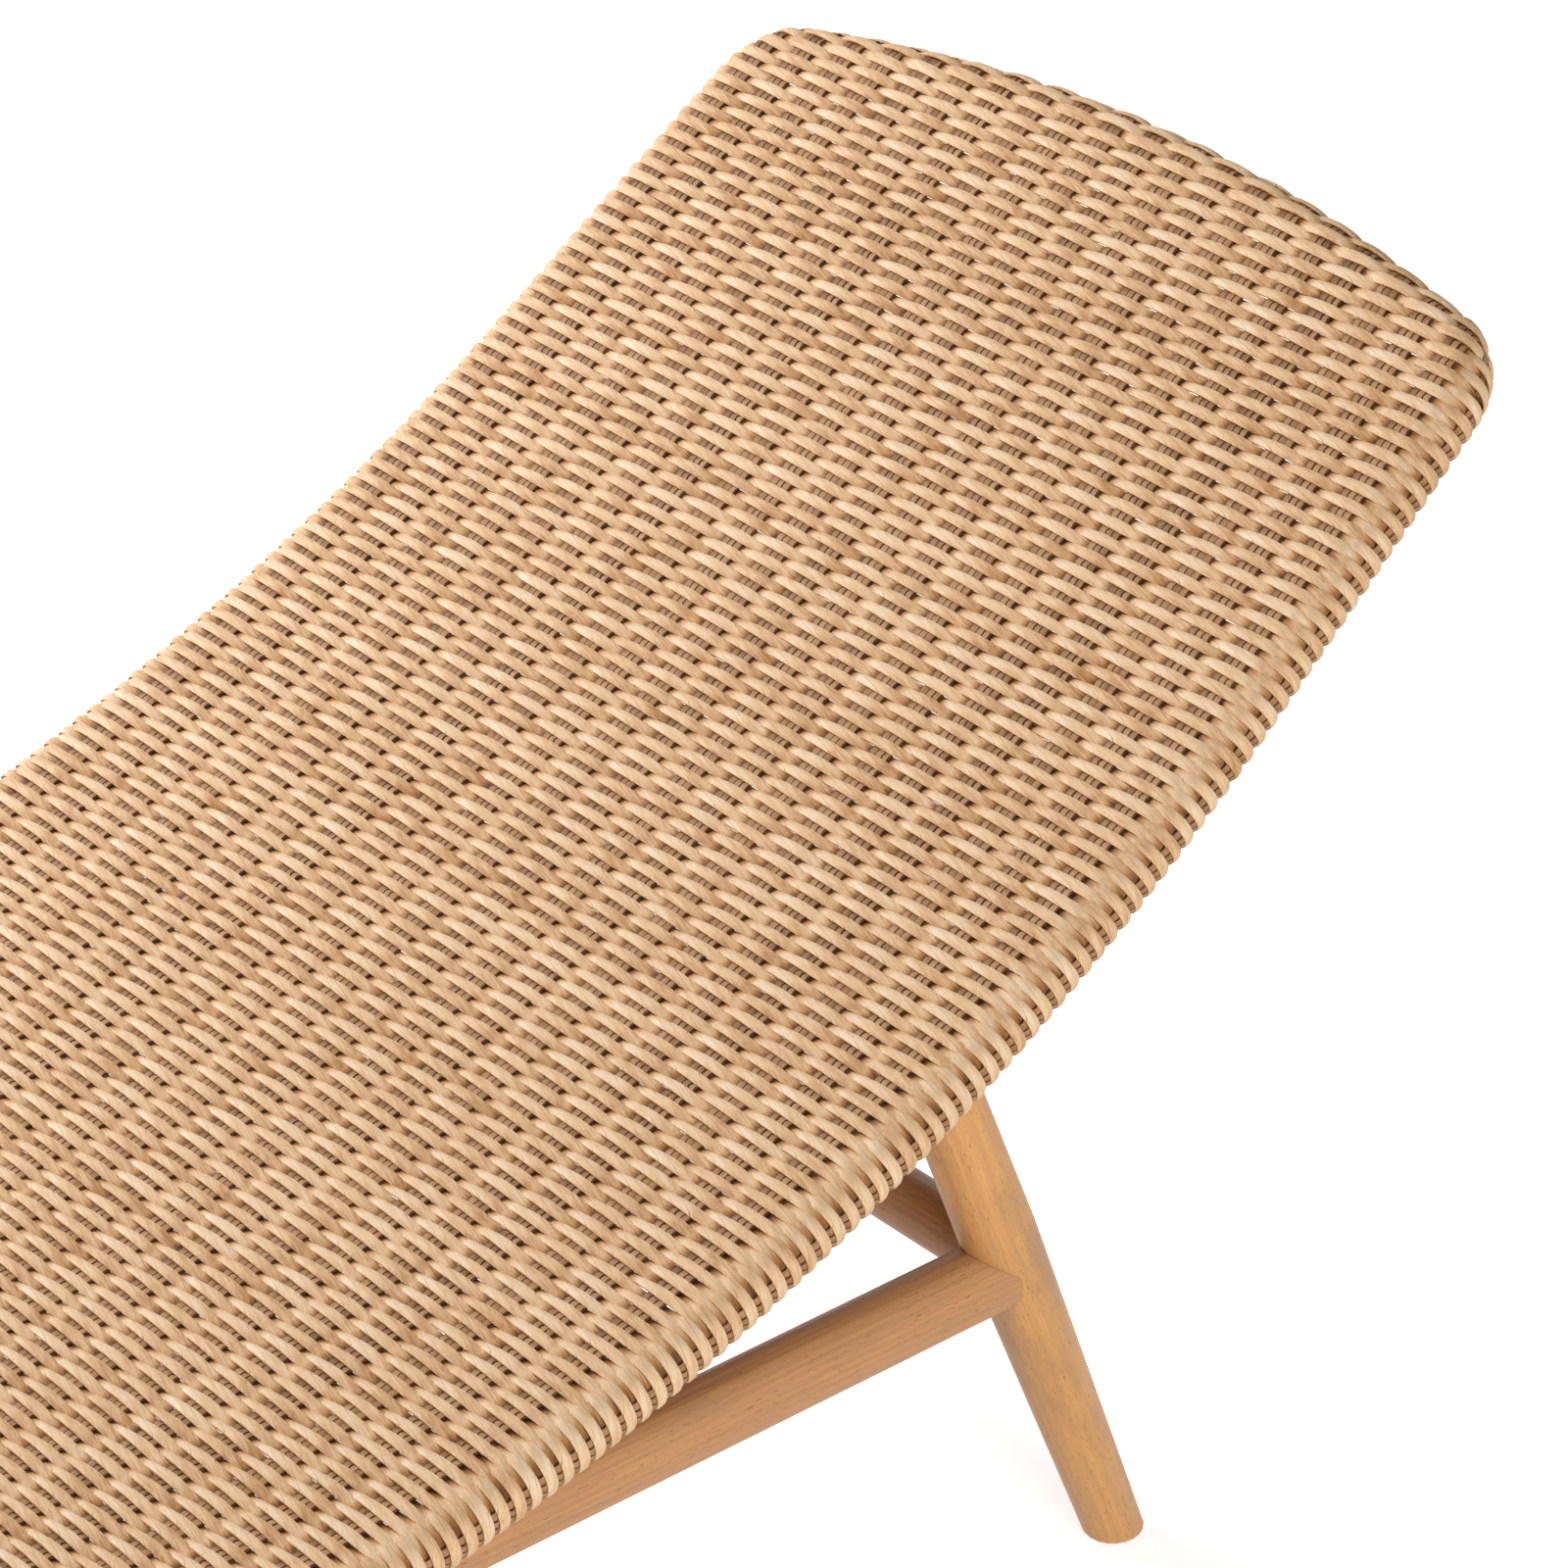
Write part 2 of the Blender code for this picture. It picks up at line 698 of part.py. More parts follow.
def cross_stretcher(end_name, leg_cutters):
    end = ENDS[end_name]
    short = Vector((0, RAIL_END_TO_LEG_AXIS, 0))
    right, left = leg_joint(end, -1) + short, leg_joint(end, 1) - short
    obj = rod(f"stretcher_{end_name}", right, left, STRETCHER_DIAMETER, OILED_WOOD, sides=TURNED_SIDES)
    for side_name, side in SIDES.items():
        cut(obj, leg_cutters[end_name, side_name])
        foot, head = rail_line(side)
        rail = rod_cutter(
            f"cope_rail_{end_name}_{side_name}", foot, head, RAIL_DIAMETER + 2 * FIT, TURNED_SIDES
        )
        cut(obj, rail)
        cut(obj, bpy.data.objects[f"hole_stretcher_{end_name}_{side_name}"])


# Leg brackets: tabs welded under the leg cross tubes and screwed to flats on the legs' inner sides


def bracket_face(side):
    """The distance from the leg's centre line to its bracket seat."""
    return LEG_TOP_DIAMETER / 2 - BRACKET_SEAT_DEPTH


def bracket_seat_cutter(name, end, side):
    joint, up = leg_joint(end, side), leg_up(end)
    height = BRACKET_LENGTH + BRACKET_WIDTH / 2
    thickness = LEG_BELLY_DIAMETER / 2
    centre = joint + up * (leg_top(end) - BRACKET_LENGTH - FIT + height / 2)
    centre.y -= side * (bracket_face(side) + thickness / 2)
    size = Vector((LEG_BELLY_DIAMETER * SEAT_CUT_MARGIN, thickness, height))
    return as_cutter(block(f"seat_{name}", centre, size, up, STAINLESS, CUTTERS))


def bracket_screw_lines(end, side):
    """The two screws' centre lines: from outside the bracket to their tips in the leg."""
    joint, up = leg_joint(end, side), leg_up(end)
    outside = bracket_face(side) + BRACKET_THICKNESS + 2 * FIT
    lines = []
    for place in BRACKET_SCREW_PLACES:
        level = joint + up * (leg_top(end) - place)
        start = level - Vector((0, side * outside, 0))
        tip = start + Vector((0, side * (SCREW_LENGTH + FIT), 0))
        lines.append((start, tip))
    return lines


def leg_bracket(end_name, side_name):
    end, side = ENDS[end_name], SIDES[side_name]
    name = f"leg_bracket_{end_name}_{side_name}"
    joint, up = leg_joint(end, side), leg_up(end)
    centre = joint + up * (leg_top(end) - BRACKET_LENGTH / 2)
    centre.y -= side * (bracket_face(side) + FIT + BRACKET_THICKNESS / 2)
    size = Vector((BRACKET_WIDTH, BRACKET_THICKNESS, BRACKET_LENGTH))
    obj = block(name, centre, size, up, COATED_METAL)
    for index, (start, finish) in enumerate(bracket_screw_lines(end, side)):
        clear = Vector((0, side * BRACKET_THICKNESS, 0))
        hole = rod_cutter(f"clear_{index}_{name}", start - clear, finish, SCREW_DIAMETER + 2 * FIT)
        cut(obj, hole)
        screw(f"{name}_screw_{index + 1}", start, (finish - start).normalized())


def screw(name, seat, inwards):
    """A pan-head screw whose head rests on seat and whose shank points inwards."""
    head = SCREW_HEAD_DIAMETER / 2
    shank = SCREW_DIAMETER / 2
    flat_share, side_share = SCREW_HEAD_DOME
    points = [
        (0, SCREW_HEAD_HEIGHT),
        (head * flat_share, SCREW_HEAD_HEIGHT),
        (head, SCREW_HEAD_HEIGHT * side_share),
        (head, 0),
        (shank, 0),
        (shank, SCREW_DIAMETER - SCREW_LENGTH),
        (0, -SCREW_LENGTH),
    ]
    point_along(turned(name, points, STAINLESS, sides=SMALL_SIDES), seat, -inwards)


# Seat bosses: threaded bushes under the seat cross tube, each drawn down on its rail by a bolt


def boss_seat(side):
    """The centre of the flat milled on top of the rail, under the lowest point of the seat."""
    height = JOINT_HEIGHT + RAIL_DIAMETER / 2 - BOSS_SEAT_DEPTH
    return Vector((SEAT_LOW_X, side * LEG_INSET_Y, height))


def counterbore_top(side):
    """The bearing face of the bolt's washer, up inside the rail."""
    return Vector((SEAT_LOW_X, side * LEG_INSET_Y, JOINT_HEIGHT - RAIL_DIAMETER / 2 + COUNTERBORE_DEPTH))


def rail_bolt_cutters(side_name):
    side = SIDES[side_name]
    up = Vector((0, 0, 1))
    seat, bearing = boss_seat(side), counterbore_top(side)
    clear = up * RAIL_DIAMETER
    flat_width = BOSS_DIAMETER * SEAT_CUT_MARGIN
    return [
        rod_cutter(f"boss_flat_{side_name}", seat, seat + clear, flat_width),
        rod_cutter(f"bolt_bore_{side_name}", bearing - up * FIT, seat + up * FIT, BOLT_DIAMETER + 2 * FIT),
        rod_cutter(f"counterbore_{side_name}", bearing - clear, bearing, WASHER_DIAMETER + 2 * FIT),
    ]


def seat_boss(side_name):
    side = SIDES[side_name]
    up = Vector((0, 0, 1))
    bottom = boss_seat(side) + up * FIT
    tube_centre = on_panel(0, side * LEG_INSET_Y, TUBE_DEPTH)
    name = f"seat_boss_{side_name}"
    obj = rod(name, bottom, tube_centre, BOSS_DIAMETER, COATED_METAL)
    reach = Vector((0, BOSS_DIAMETER, 0))
    saddle = rod_cutter(
        f"saddle_{side_name}", tube_centre - reach, tube_centre + reach, CROSS_TUBE_DIAMETER + 2 * FIT
    )
    cut(obj, saddle)
    thread_top = bottom + up * (BOLT_REACH_IN_BOSS + FIT)
    cut(obj, rod_cutter(f"thread_{side_name}", bottom - up * FIT, thread_top, BOLT_DIAMETER + 2 * FIT))


def rail_bolt(side_name):
    side = SIDES[side_name]
    up = Vector((0, 0, 1))
    washer_top = counterbore_top(side) - up * FIT
    washer_bottom = washer_top - up * WASHER_THICKNESS
    washer = rod(f"rail_washer_{side_name}", washer_bottom, washer_top, WASHER_DIAMETER, STAINLESS)
    bore = rod_cutter(
        f"washer_bore_{side_name}",
        washer_bottom - up * WASHER_THICKNESS,
        washer_top + up * WASHER_THICKNESS,
        BOLT_DIAMETER + 2 * FIT,
    )
    cut(washer, bore)
    head_top = washer_bottom - up * FIT
    tip = boss_seat(side) + up * BOLT_REACH_IN_BOSS
    length = tip.z - head_top.z
    head = BOLT_HEAD_DIAMETER / 2
    shank = BOLT_DIAMETER / 2
    points = [(0, length), (shank, length), (shank, 0), (head, 0)]
    points += [(head, -BOLT_HEAD_HEIGHT), (0, -BOLT_HEAD_HEIGHT)]
    point_along(turned(f"rail_bolt_{side_name}", points, STAINLESS, sides=SMALL_SIDES), head_top, up)


# Foot glides


def foot_glide(end_name, side_name):
    foot = leg_foot(ENDS[end_name], SIDES[side_name])
    bottom = Vector((foot.x, foot.y, 0))
    top = Vector((foot.x, foot.y, GLIDE_THICKNESS))
    glide = rod(
        f"foot_glide_{end_name}_{side_name}", bottom, top, GLIDE_DIAMETER, NYLON, sides=TURNED_SIDES
    )
    round_edges(glide, GLIDE_PROUD / 4, 1)


def build():
    woven_panel()
    frame_tubes()
    coping = side_tube_cutters()
    head_legs, foot_legs = leg_reach(1)[1], leg_reach(-1)[1]
    cross_tube("cross_tube_back", (head_legs + BACK_LENGTH) / 2, coping)
    cross_tube("cross_tube_head_legs", head_legs, coping)
    cross_tube("cross_tube_lumbar", head_legs / 2, coping)
    cross_tube("cross_tube_seat", 0, coping)
    cross_tube("cross_tube_thigh", foot_legs / 2, coping)
    cross_tube("cross_tube_foot_legs", foot_legs, coping)

    dowels_and_holes()
    leg_cutters = {}
    for end_name in ENDS:
        for side_name in SIDES:
            leg_cutters[end_name, side_name] = leg_cutter(end_name, side_name)
            leg(end_name, side_name)
            leg_bracket(end_name, side_name)
            foot_glide(end_name, side_name)
    for side_name in SIDES:
        side_rail(side_name, leg_cutters)
        seat_boss(side_name)
        rail_bolt(side_name)
    for end_name in ENDS:
        cross_stretcher(end_name, leg_cutters)


build()
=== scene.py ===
"""The looks of a chaise longue: a wicker panel on a bent tube frame, carried by a turned wooden base.

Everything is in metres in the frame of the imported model: +X towards the head end, +Y to the left of
someone lying on it, and the floor at z = 0.
"""

import json
import math

import bmesh
import bpy
import numpy as np
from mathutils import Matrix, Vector, kdtree

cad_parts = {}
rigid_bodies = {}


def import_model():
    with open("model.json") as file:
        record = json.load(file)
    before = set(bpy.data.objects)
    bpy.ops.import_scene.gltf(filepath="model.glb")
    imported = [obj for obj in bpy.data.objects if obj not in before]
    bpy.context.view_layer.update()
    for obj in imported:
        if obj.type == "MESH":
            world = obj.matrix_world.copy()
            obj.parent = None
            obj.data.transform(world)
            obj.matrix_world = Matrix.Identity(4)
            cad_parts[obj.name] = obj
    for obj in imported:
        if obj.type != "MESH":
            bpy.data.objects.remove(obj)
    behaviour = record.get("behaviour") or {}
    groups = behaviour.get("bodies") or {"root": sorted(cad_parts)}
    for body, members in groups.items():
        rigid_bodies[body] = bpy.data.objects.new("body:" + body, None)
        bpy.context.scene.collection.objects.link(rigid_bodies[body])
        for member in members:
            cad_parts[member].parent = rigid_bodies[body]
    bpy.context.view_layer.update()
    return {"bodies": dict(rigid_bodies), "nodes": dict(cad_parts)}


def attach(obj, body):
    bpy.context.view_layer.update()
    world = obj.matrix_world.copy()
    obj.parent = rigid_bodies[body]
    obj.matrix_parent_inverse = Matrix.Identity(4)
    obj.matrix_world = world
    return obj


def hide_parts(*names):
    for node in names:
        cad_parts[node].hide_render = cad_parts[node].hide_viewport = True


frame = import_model()
body = next(iter(frame["bodies"]))

# The lines that the panel is bent to. The real one is woven round a frame of bent aluminium tube, so tube
# and strands share one side view, from the back down through the seat and over a low knee, and one plan
# with bowed sides and ends. "Along" runs on the top surface, and is 0 at the lowest point of the seat.

SEAT_LOW_X = -0.069
SEAT_LOW_Z = 0.294
SEAT_RADIUS = 1.374
BACK_SLOPE = math.radians(37.15)
BACK_LENGTH = 1.161
THIGH_SLOPE = math.radians(13)
KNEE_RADIUS = 0.80
CALF_SLOPE = math.radians(8)
FOOT_LENGTH = 0.928
HALF_WIDTH = 0.345
SIDE_BOW_RADIUS = 10.0
END_BOW_RADIUS = 1.2
CORNER_RADIUS = 0.042
CORNER_ROUNDS = 20
TUBE_RADIUS = 0.0125
TUBE_DEPTH = 0.0184
LINE_STEP = 0.0005
LINE_REACH = 1.4
DIRECTION_SPAN = 3

thigh_end = -SEAT_RADIUS * THIGH_SLOPE
knee_end = thigh_end - KNEE_RADIUS * (THIGH_SLOPE + CALF_SLOPE)
back_start = SEAT_RADIUS * BACK_SLOPE
stations = np.arange(-LINE_REACH, LINE_REACH, LINE_STEP)
slopes = np.interp(
    stations, (knee_end, thigh_end, back_start), (CALF_SLOPE, -THIGH_SLOPE, BACK_SLOPE)
)
station_x = np.cumsum(np.cos(slopes)) * LINE_STEP
station_x += SEAT_LOW_X - np.interp(0, stations, station_x)
station_z = np.cumsum(np.sin(slopes)) * LINE_STEP
station_z += SEAT_LOW_Z - np.interp(0, stations, station_z)


def on_panel(along, y, depth):
    """The place at a depth square under a point of the top surface, as an array of x, y, z."""
    slope = np.interp(along, stations, slopes)
    x = np.interp(along, stations, station_x) + depth * np.sin(slope)
    z = np.interp(along, stations, station_z) - depth * np.cos(slope)
    return np.stack(np.broadcast_arrays(x, y, z), axis=-1)


def half_width(along):
    return HALF_WIDTH - np.interp(along, stations, station_x) ** 2 / (2 * SIDE_BOW_RADIUS)


def end_along(end, y):
    length = BACK_LENGTH if end > 0 else FOOT_LENGTH
    return end * (length - y**2 / (2 * END_BOW_RADIUS))


def rounded_corner(end):
    """The corner on the +Y side as points (along, y), from the side round to the end."""
    along = end_along(end, HALF_WIDTH)
    for _ in range(CORNER_ROUNDS):
        along = end_along(end, half_width(along))
    corner = np.array((along, half_width(along)))
    before = along - end * CORNER_RADIUS
    towards_end = corner - (before, half_width(before))
    towards_end /= np.linalg.norm(towards_end)
    towards_middle = np.array((end * corner[1] / END_BOW_RADIUS, -1))
    towards_middle /= np.linalg.norm(towards_middle)
    turn = math.acos(towards_end @ towards_middle)
    inwards = towards_middle - towards_end * (towards_end @ towards_middle)
    inwards /= np.linalg.norm(inwards)
    start = corner - towards_end * CORNER_RADIUS * math.tan(turn / 2)
    angle = np.linspace(0, turn, round(turn * CORNER_RADIUS / LINE_STEP))[:, None]
    return start + CORNER_RADIUS * (np.sin(angle) * towards_end + (1 - np.cos(angle)) * inwards)


def plan_outline():
    """The centre line of the frame tube in plan, closed, and the direction outwards at each point."""
    foot_corner = rounded_corner(-1)[::-1]
    head_corner = rounded_corner(1)
    along = np.arange(foot_corner[-1, 0], head_corner[0, 0], LINE_STEP)
    side = np.stack((along, half_width(along)), axis=1)
    y = np.arange(head_corner[-1, 1], 0, -LINE_STEP)
    head = np.stack((end_along(1, y), y), axis=1)
    y = np.arange(foot_corner[0, 1], 0, -LINE_STEP)[::-1]
    foot = np.stack((end_along(-1, y), y), axis=1)
    half = np.concatenate((foot, foot_corner, side, head_corner, head))
    whole = np.concatenate((half, half[::-1] * (1, -1)))
    direction = np.roll(whole, -DIRECTION_SPAN, axis=0) - np.roll(whole, DIRECTION_SPAN, axis=0)
    direction /= np.linalg.norm(direction, axis=1)[:, None]
    return whole, np.stack((-direction[:, 1], direction[:, 0]), axis=1)


outline, outwards = plan_outline()
outline_tree = kdtree.KDTree(len(outline))
for index, (line_along, line_y) in enumerate(outline):
    outline_tree.insert((line_along, line_y, 0), index)
outline_tree.balance()


def past_outline(along, y):
    """How far places in plan lie outside the tube's centre line, and the direction outwards there."""
    along, y = np.broadcast_arrays(along, y)
    places = np.stack((along.ravel(), y.ravel()), axis=1)
    nearest = [outline_tree.find((a, b, 0))[1] for a, b in places]
    out = outwards[nearest]
    distance = np.sum((places - outline[nearest]) * out, axis=1)
    return distance.reshape(along.shape), out.reshape((*along.shape, 2))


# The warp: flat strips of polyethylene wicker that run the length of the panel, three side by side in each
# group. They are extruded with a fine lengthwise grain, lie under and over the cords woven through them,
# and have their ends turned under the end tubes.

OUTER_GROUP = 9.5
OUTER_GROUP_INSET = 0.024
OUTER_GROUP_INSET_LOSS = 0.0216
LEAST_GROUP_INSET = 0.010
ROW_NUMBERS = np.arange(-340, 120)
ROW_PITCH = 0.00558
ROW_ZERO_ALONG = 0.7198
ROW_STRETCH = 0.0006
ROW_STRETCH_LIMITS = (-130, 90)

# The middle of the weave lies this deep under the top surface, and turns round the frame tube there
MIDDLE_DEPTH = 0.0038
ROLL_RADIUS = TUBE_DEPTH - MIDDLE_DEPTH


def row_spacing():
    """The place along the panel of each row of the weave: rows lie wider apart up the back."""
    pitch = ROW_PITCH * (1 + ROW_STRETCH * np.clip(ROW_NUMBERS, *ROW_STRETCH_LIMITS))
    places = np.cumsum(pitch)
    return places + ROW_ZERO_ALONG - places[ROW_NUMBERS == 0]


row_places = row_spacing()
half_rows = np.arange(2 * (len(row_places) - 1)) / 2
half_row_places = np.interp(half_rows, np.arange(len(row_places)), row_places)


def group_pitch(along):
    """The distance between warp groups. The outermost keep a little inside the frame tube."""
    inset = OUTER_GROUP_INSET - OUTER_GROUP_INSET_LOSS * np.interp(along, stations, station_x) ** 2
    return (half_width(along) - np.maximum(inset, LEAST_GROUP_INSET)) / OUTER_GROUP


def weft_height(group, row):
    """How the weft lies at a warp group, from 1 over it to -1 under it. Groups are at 0.5, 1.5 and so on."""
    return np.cos(math.pi * (group - 0.5 + row))


def rolled(along, y, lift, half_thickness):
    """Takes a place on the flat-laid weave, lifted off its middle, to where it lies on the panel: past the
    centre line of the frame tube, the weave turns down round the tube, and nothing lies inside the tube."""
    distance, out = past_outline(along, y)
    clear = TUBE_RADIUS + half_thickness
    least = np.sqrt(np.maximum(clear**2 - np.minimum(distance, 0) ** 2, 0)) - ROLL_RADIUS
    lift = np.where(distance > -clear, np.maximum(lift, least), lift)
    angle = np.maximum(distance, 0) / ROLL_RADIUS
    radius = ROLL_RADIUS + lift
    outward = np.where(distance > 0, radius * np.sin(angle), distance)
    shift = outward - distance
    up = radius * np.cos(angle)
    return on_panel(along + out[..., 0] * shift, y + out[..., 1] * shift, TUBE_DEPTH - up)


def on_tube(along, y):
    """How far the weave lies on the frame tube there, from 0 beside it to 1 from its middle outwards."""
    return np.clip(1 + past_outline(along, y)[0] / TUBE_RADIUS, 0, 1)


def straight_bar(steps, sides):
    """A straight closed bar of unit size along Z, and each point's ring number and angle."""
    shape = bmesh.new()
    bmesh.ops.create_cone(shape, cap_ends=True, segments=sides, radius1=1, radius2=1, depth=1)
    lengthwise = [edge for edge in shape.edges if edge.verts[0].co.z * edge.verts[1].co.z < 0]
    bmesh.ops.subdivide_edges(shape, edges=lengthwise, cuts=steps - 1, use_grid_fill=True)
    mesh = bpy.data.meshes.new("straight bar")
    shape.to_mesh(mesh)
    shape.free()
    points = np.empty(len(mesh.vertices) * 3, np.float32)
    mesh.vertices.foreach_get("co", points)
    points = points.reshape(-1, 3)
    rings = np.rint((points[:, 2] + 0.5) * steps).astype(int)
    return mesh, rings, np.arctan2(points[:, 1], points[:, 0])


def repeated_bar(name, count, steps, sides):
    """A mesh that holds the straight bar a number of times, and the ring and angle of one bar's points."""
    bar, ring, angle = straight_bar(steps, sides)
    shape = bmesh.new()
    for _ in range(count):
        shape.from_mesh(bar)
    mesh = bpy.data.meshes.new(name)
    shape.to_mesh(mesh)
    shape.free()
    bpy.data.meshes.remove(bar)
    return mesh, ring, angle


def unit(vectors):
    return vectors / np.linalg.norm(vectors, axis=-1, keepdims=True)


def store(mesh, attribute, kind, values):
    """Stores a number or a vector for each point of a mesh, as an attribute that its material reads."""
    field = "vector" if kind == "FLOAT_VECTOR" else "value"
    mesh.attributes.new(attribute, kind, "POINT").data.foreach_set(field, values.astype(np.float32).ravel())


STRAND_SHARP_ANGLE = math.radians(50)
INNER_SHADE = 0.62
INNER_SHADE_RISE = 0.3
STRAND_SPACING = 2.0


def add_strands(name, centre, beside, width, thickness, tone, inner, sides, material):
    """Bends one straight bar for each strand to its centre line. The arrays hold a row for each strand, and
    beside is a second line next to the centre line, which says how the flat of the strand lies. Where inner
    is 1 the lower side has painted shade, and where it is -1 the upper side. Each strand's pattern starts
    2 m past that of the one before, so that no two neighbours look alike."""
    count, rings = centre.shape[:2]
    tangent = unit(np.gradient(centre, axis=1))
    normal = unit(np.cross(tangent, beside - centre))
    across = np.cross(normal, tangent)
    steps = np.linalg.norm(np.diff(centre, axis=1), axis=2)
    distance = np.concatenate((np.zeros((count, 1)), np.cumsum(steps, axis=1)), axis=1)
    mesh, ring, angle = repeated_bar(name, count, rings - 1, sides)
    angle = angle + math.pi / sides
    corner = math.cos(math.pi / sides)
    flat = (width[:, ring] * np.cos(angle))[..., None] / (2 * corner)
    raised = (thickness[:, ring] * np.sin(angle))[..., None] / (2 * corner)
    points = centre[:, ring] + across[:, ring] * flat + normal[:, ring] * raised
    mesh.vertices.foreach_set("co", points.astype(np.float32).ravel())
    start = np.arange(count)[:, None] * STRAND_SPACING
    straight = np.stack((distance[:, ring] + start, flat[..., 0], raised[..., 0]), axis=-1)
    store(mesh, "straight_strand", "FLOAT_VECTOR", straight)
    inner = inner[:, ring]
    # Painted shade on the side of each strand that faces into the weave
    painted_shade_share = np.clip(INNER_SHADE_RISE * np.abs(inner) - inner * np.sin(angle), 0, 1)
    store(mesh, "strand_tone", "FLOAT", tone[:, ring] - INNER_SHADE * painted_shade_share)
    mesh.materials.append(material)
    mesh.shade_smooth()
    mesh.set_sharp_from_angle(angle=STRAND_SHARP_ANGLE)
    mesh.update()
    piece = bpy.data.objects.new(name, mesh)
    bpy.context.scene.collection.objects.link(piece)
    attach(piece, body)
    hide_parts("woven_panel")


def linear(hex_colour):
    """An sRGB hex colour as linear red, green, blue and alpha."""
    parts = [int(hex_colour[start:start + 2], 16) / 255 for start in (1, 3, 5)]
    return (*[p / 12.92 if p <= 0.04045 else ((p + 0.055) / 1.055) ** 2.4 for p in parts], 1)


def node(owner, kind, settings=None, stops=(), **inputs):
    """Adds a shader node to a material or the world. Settings are its own properties. Inputs are given by
    name, or by number as n0, n1 and so on, and are values, sockets, or nodes whose first output is linked.
    The stops of a colour ramp are places with their sRGB colours."""
    tree = owner.node_tree
    made = tree.nodes.new("ShaderNode" + kind)
    for key, value in (settings or {}).items():
        setattr(made, key, value)
    for _ in stops[2:]:
        made.color_ramp.elements.new(0.5)
    for number, (place, colour) in enumerate(stops):
        made.color_ramp.elements[number].position = place
        made.color_ramp.elements[number].color = linear(colour)
    for key, value in inputs.items():
        numbered = key[0] == "n" and key[1:].isdigit()
        socket = made.inputs[int(key[1:]) if numbered else key.replace("_", " ")]
        if isinstance(value, bpy.types.Node):
            value = value.outputs[0]
        if isinstance(value, bpy.types.NodeSocket):
            tree.links.new(value, socket)
        else:
            socket.default_value = value
    return made


# Settings of the Math nodes
ABSOLUTE = {"operation": "ABSOLUTE"}
ADD = {"operation": "ADD"}
ARCTAN2 = {"operation": "ARCTAN2"}
FRACT = {"operation": "FRACT"}
MULTIPLY = {"operation": "MULTIPLY"}
MULTIPLY_ADD = {"operation": "MULTIPLY_ADD"}
SINE = {"operation": "SINE"}
SUBTRACT = {"operation": "SUBTRACT"}

# Ridges of the film are some 30 mm long and 0.8 mm wide, and cloudy patches some 17 mm by 4 mm
RIDGES_PER_METRE = (33, 1250, 1250)
RIDGE_CONTRAST = 0.56
PATCHES_PER_METRE = (60, 250, 250)
PATCH_CONTRAST = 0.5
FILM_RIBS = 22
RIB_WANDER = 9
RIB_CONTRAST = 0.05
FILM_FOLDS = 3
FOLD_WANDER = 0.8
FOLD_LINE_START = 0.94
FOLD_LINE_FADE = (4, -1.4)
FOLD_LINE_COLOUR = "#9c6b42"
# Painted shade along the edges of a flat strip, for the dark lines between neighbouring strips
SHADED_EDGE_START = 0.0016
SHADED_EDGE_END = 0.0023
WICKER_RELIEF = 0.0003
WICKER_ROUGHNESS = (0.54, 0.72)
WICKER_SPECULAR = 0.28
RELIEF_STRENGTH = 0.6
NOISE_LOW = 0.3
NOISE_HIGH = 0.7


def film_folds(material, round_cord, patches):
    """The folds that wind round a cord: a step that rises from 0 to 1 across each fold, and the dark line
    along its high edge, which comes and goes."""
    turns = node(material, "Math", MULTIPLY_ADD, n0=patches, n1=FOLD_WANDER, n2=round_cord)
    turns = node(material, "Math", MULTIPLY, n0=turns, n1=FILM_FOLDS / (2 * math.pi))
    step = node(material, "Math", FRACT, n0=turns)
    line = node(material, "MapRange", Value=step, n1=FOLD_LINE_START, n2=1.0, n3=0.0, n4=1.0)
    fade = node(material, "Math", MULTIPLY_ADD, n0=patches, n1=FOLD_LINE_FADE[0], n2=FOLD_LINE_FADE[1])
    return step, node(material, "Math", MULTIPLY, n0=line, n1=fade)


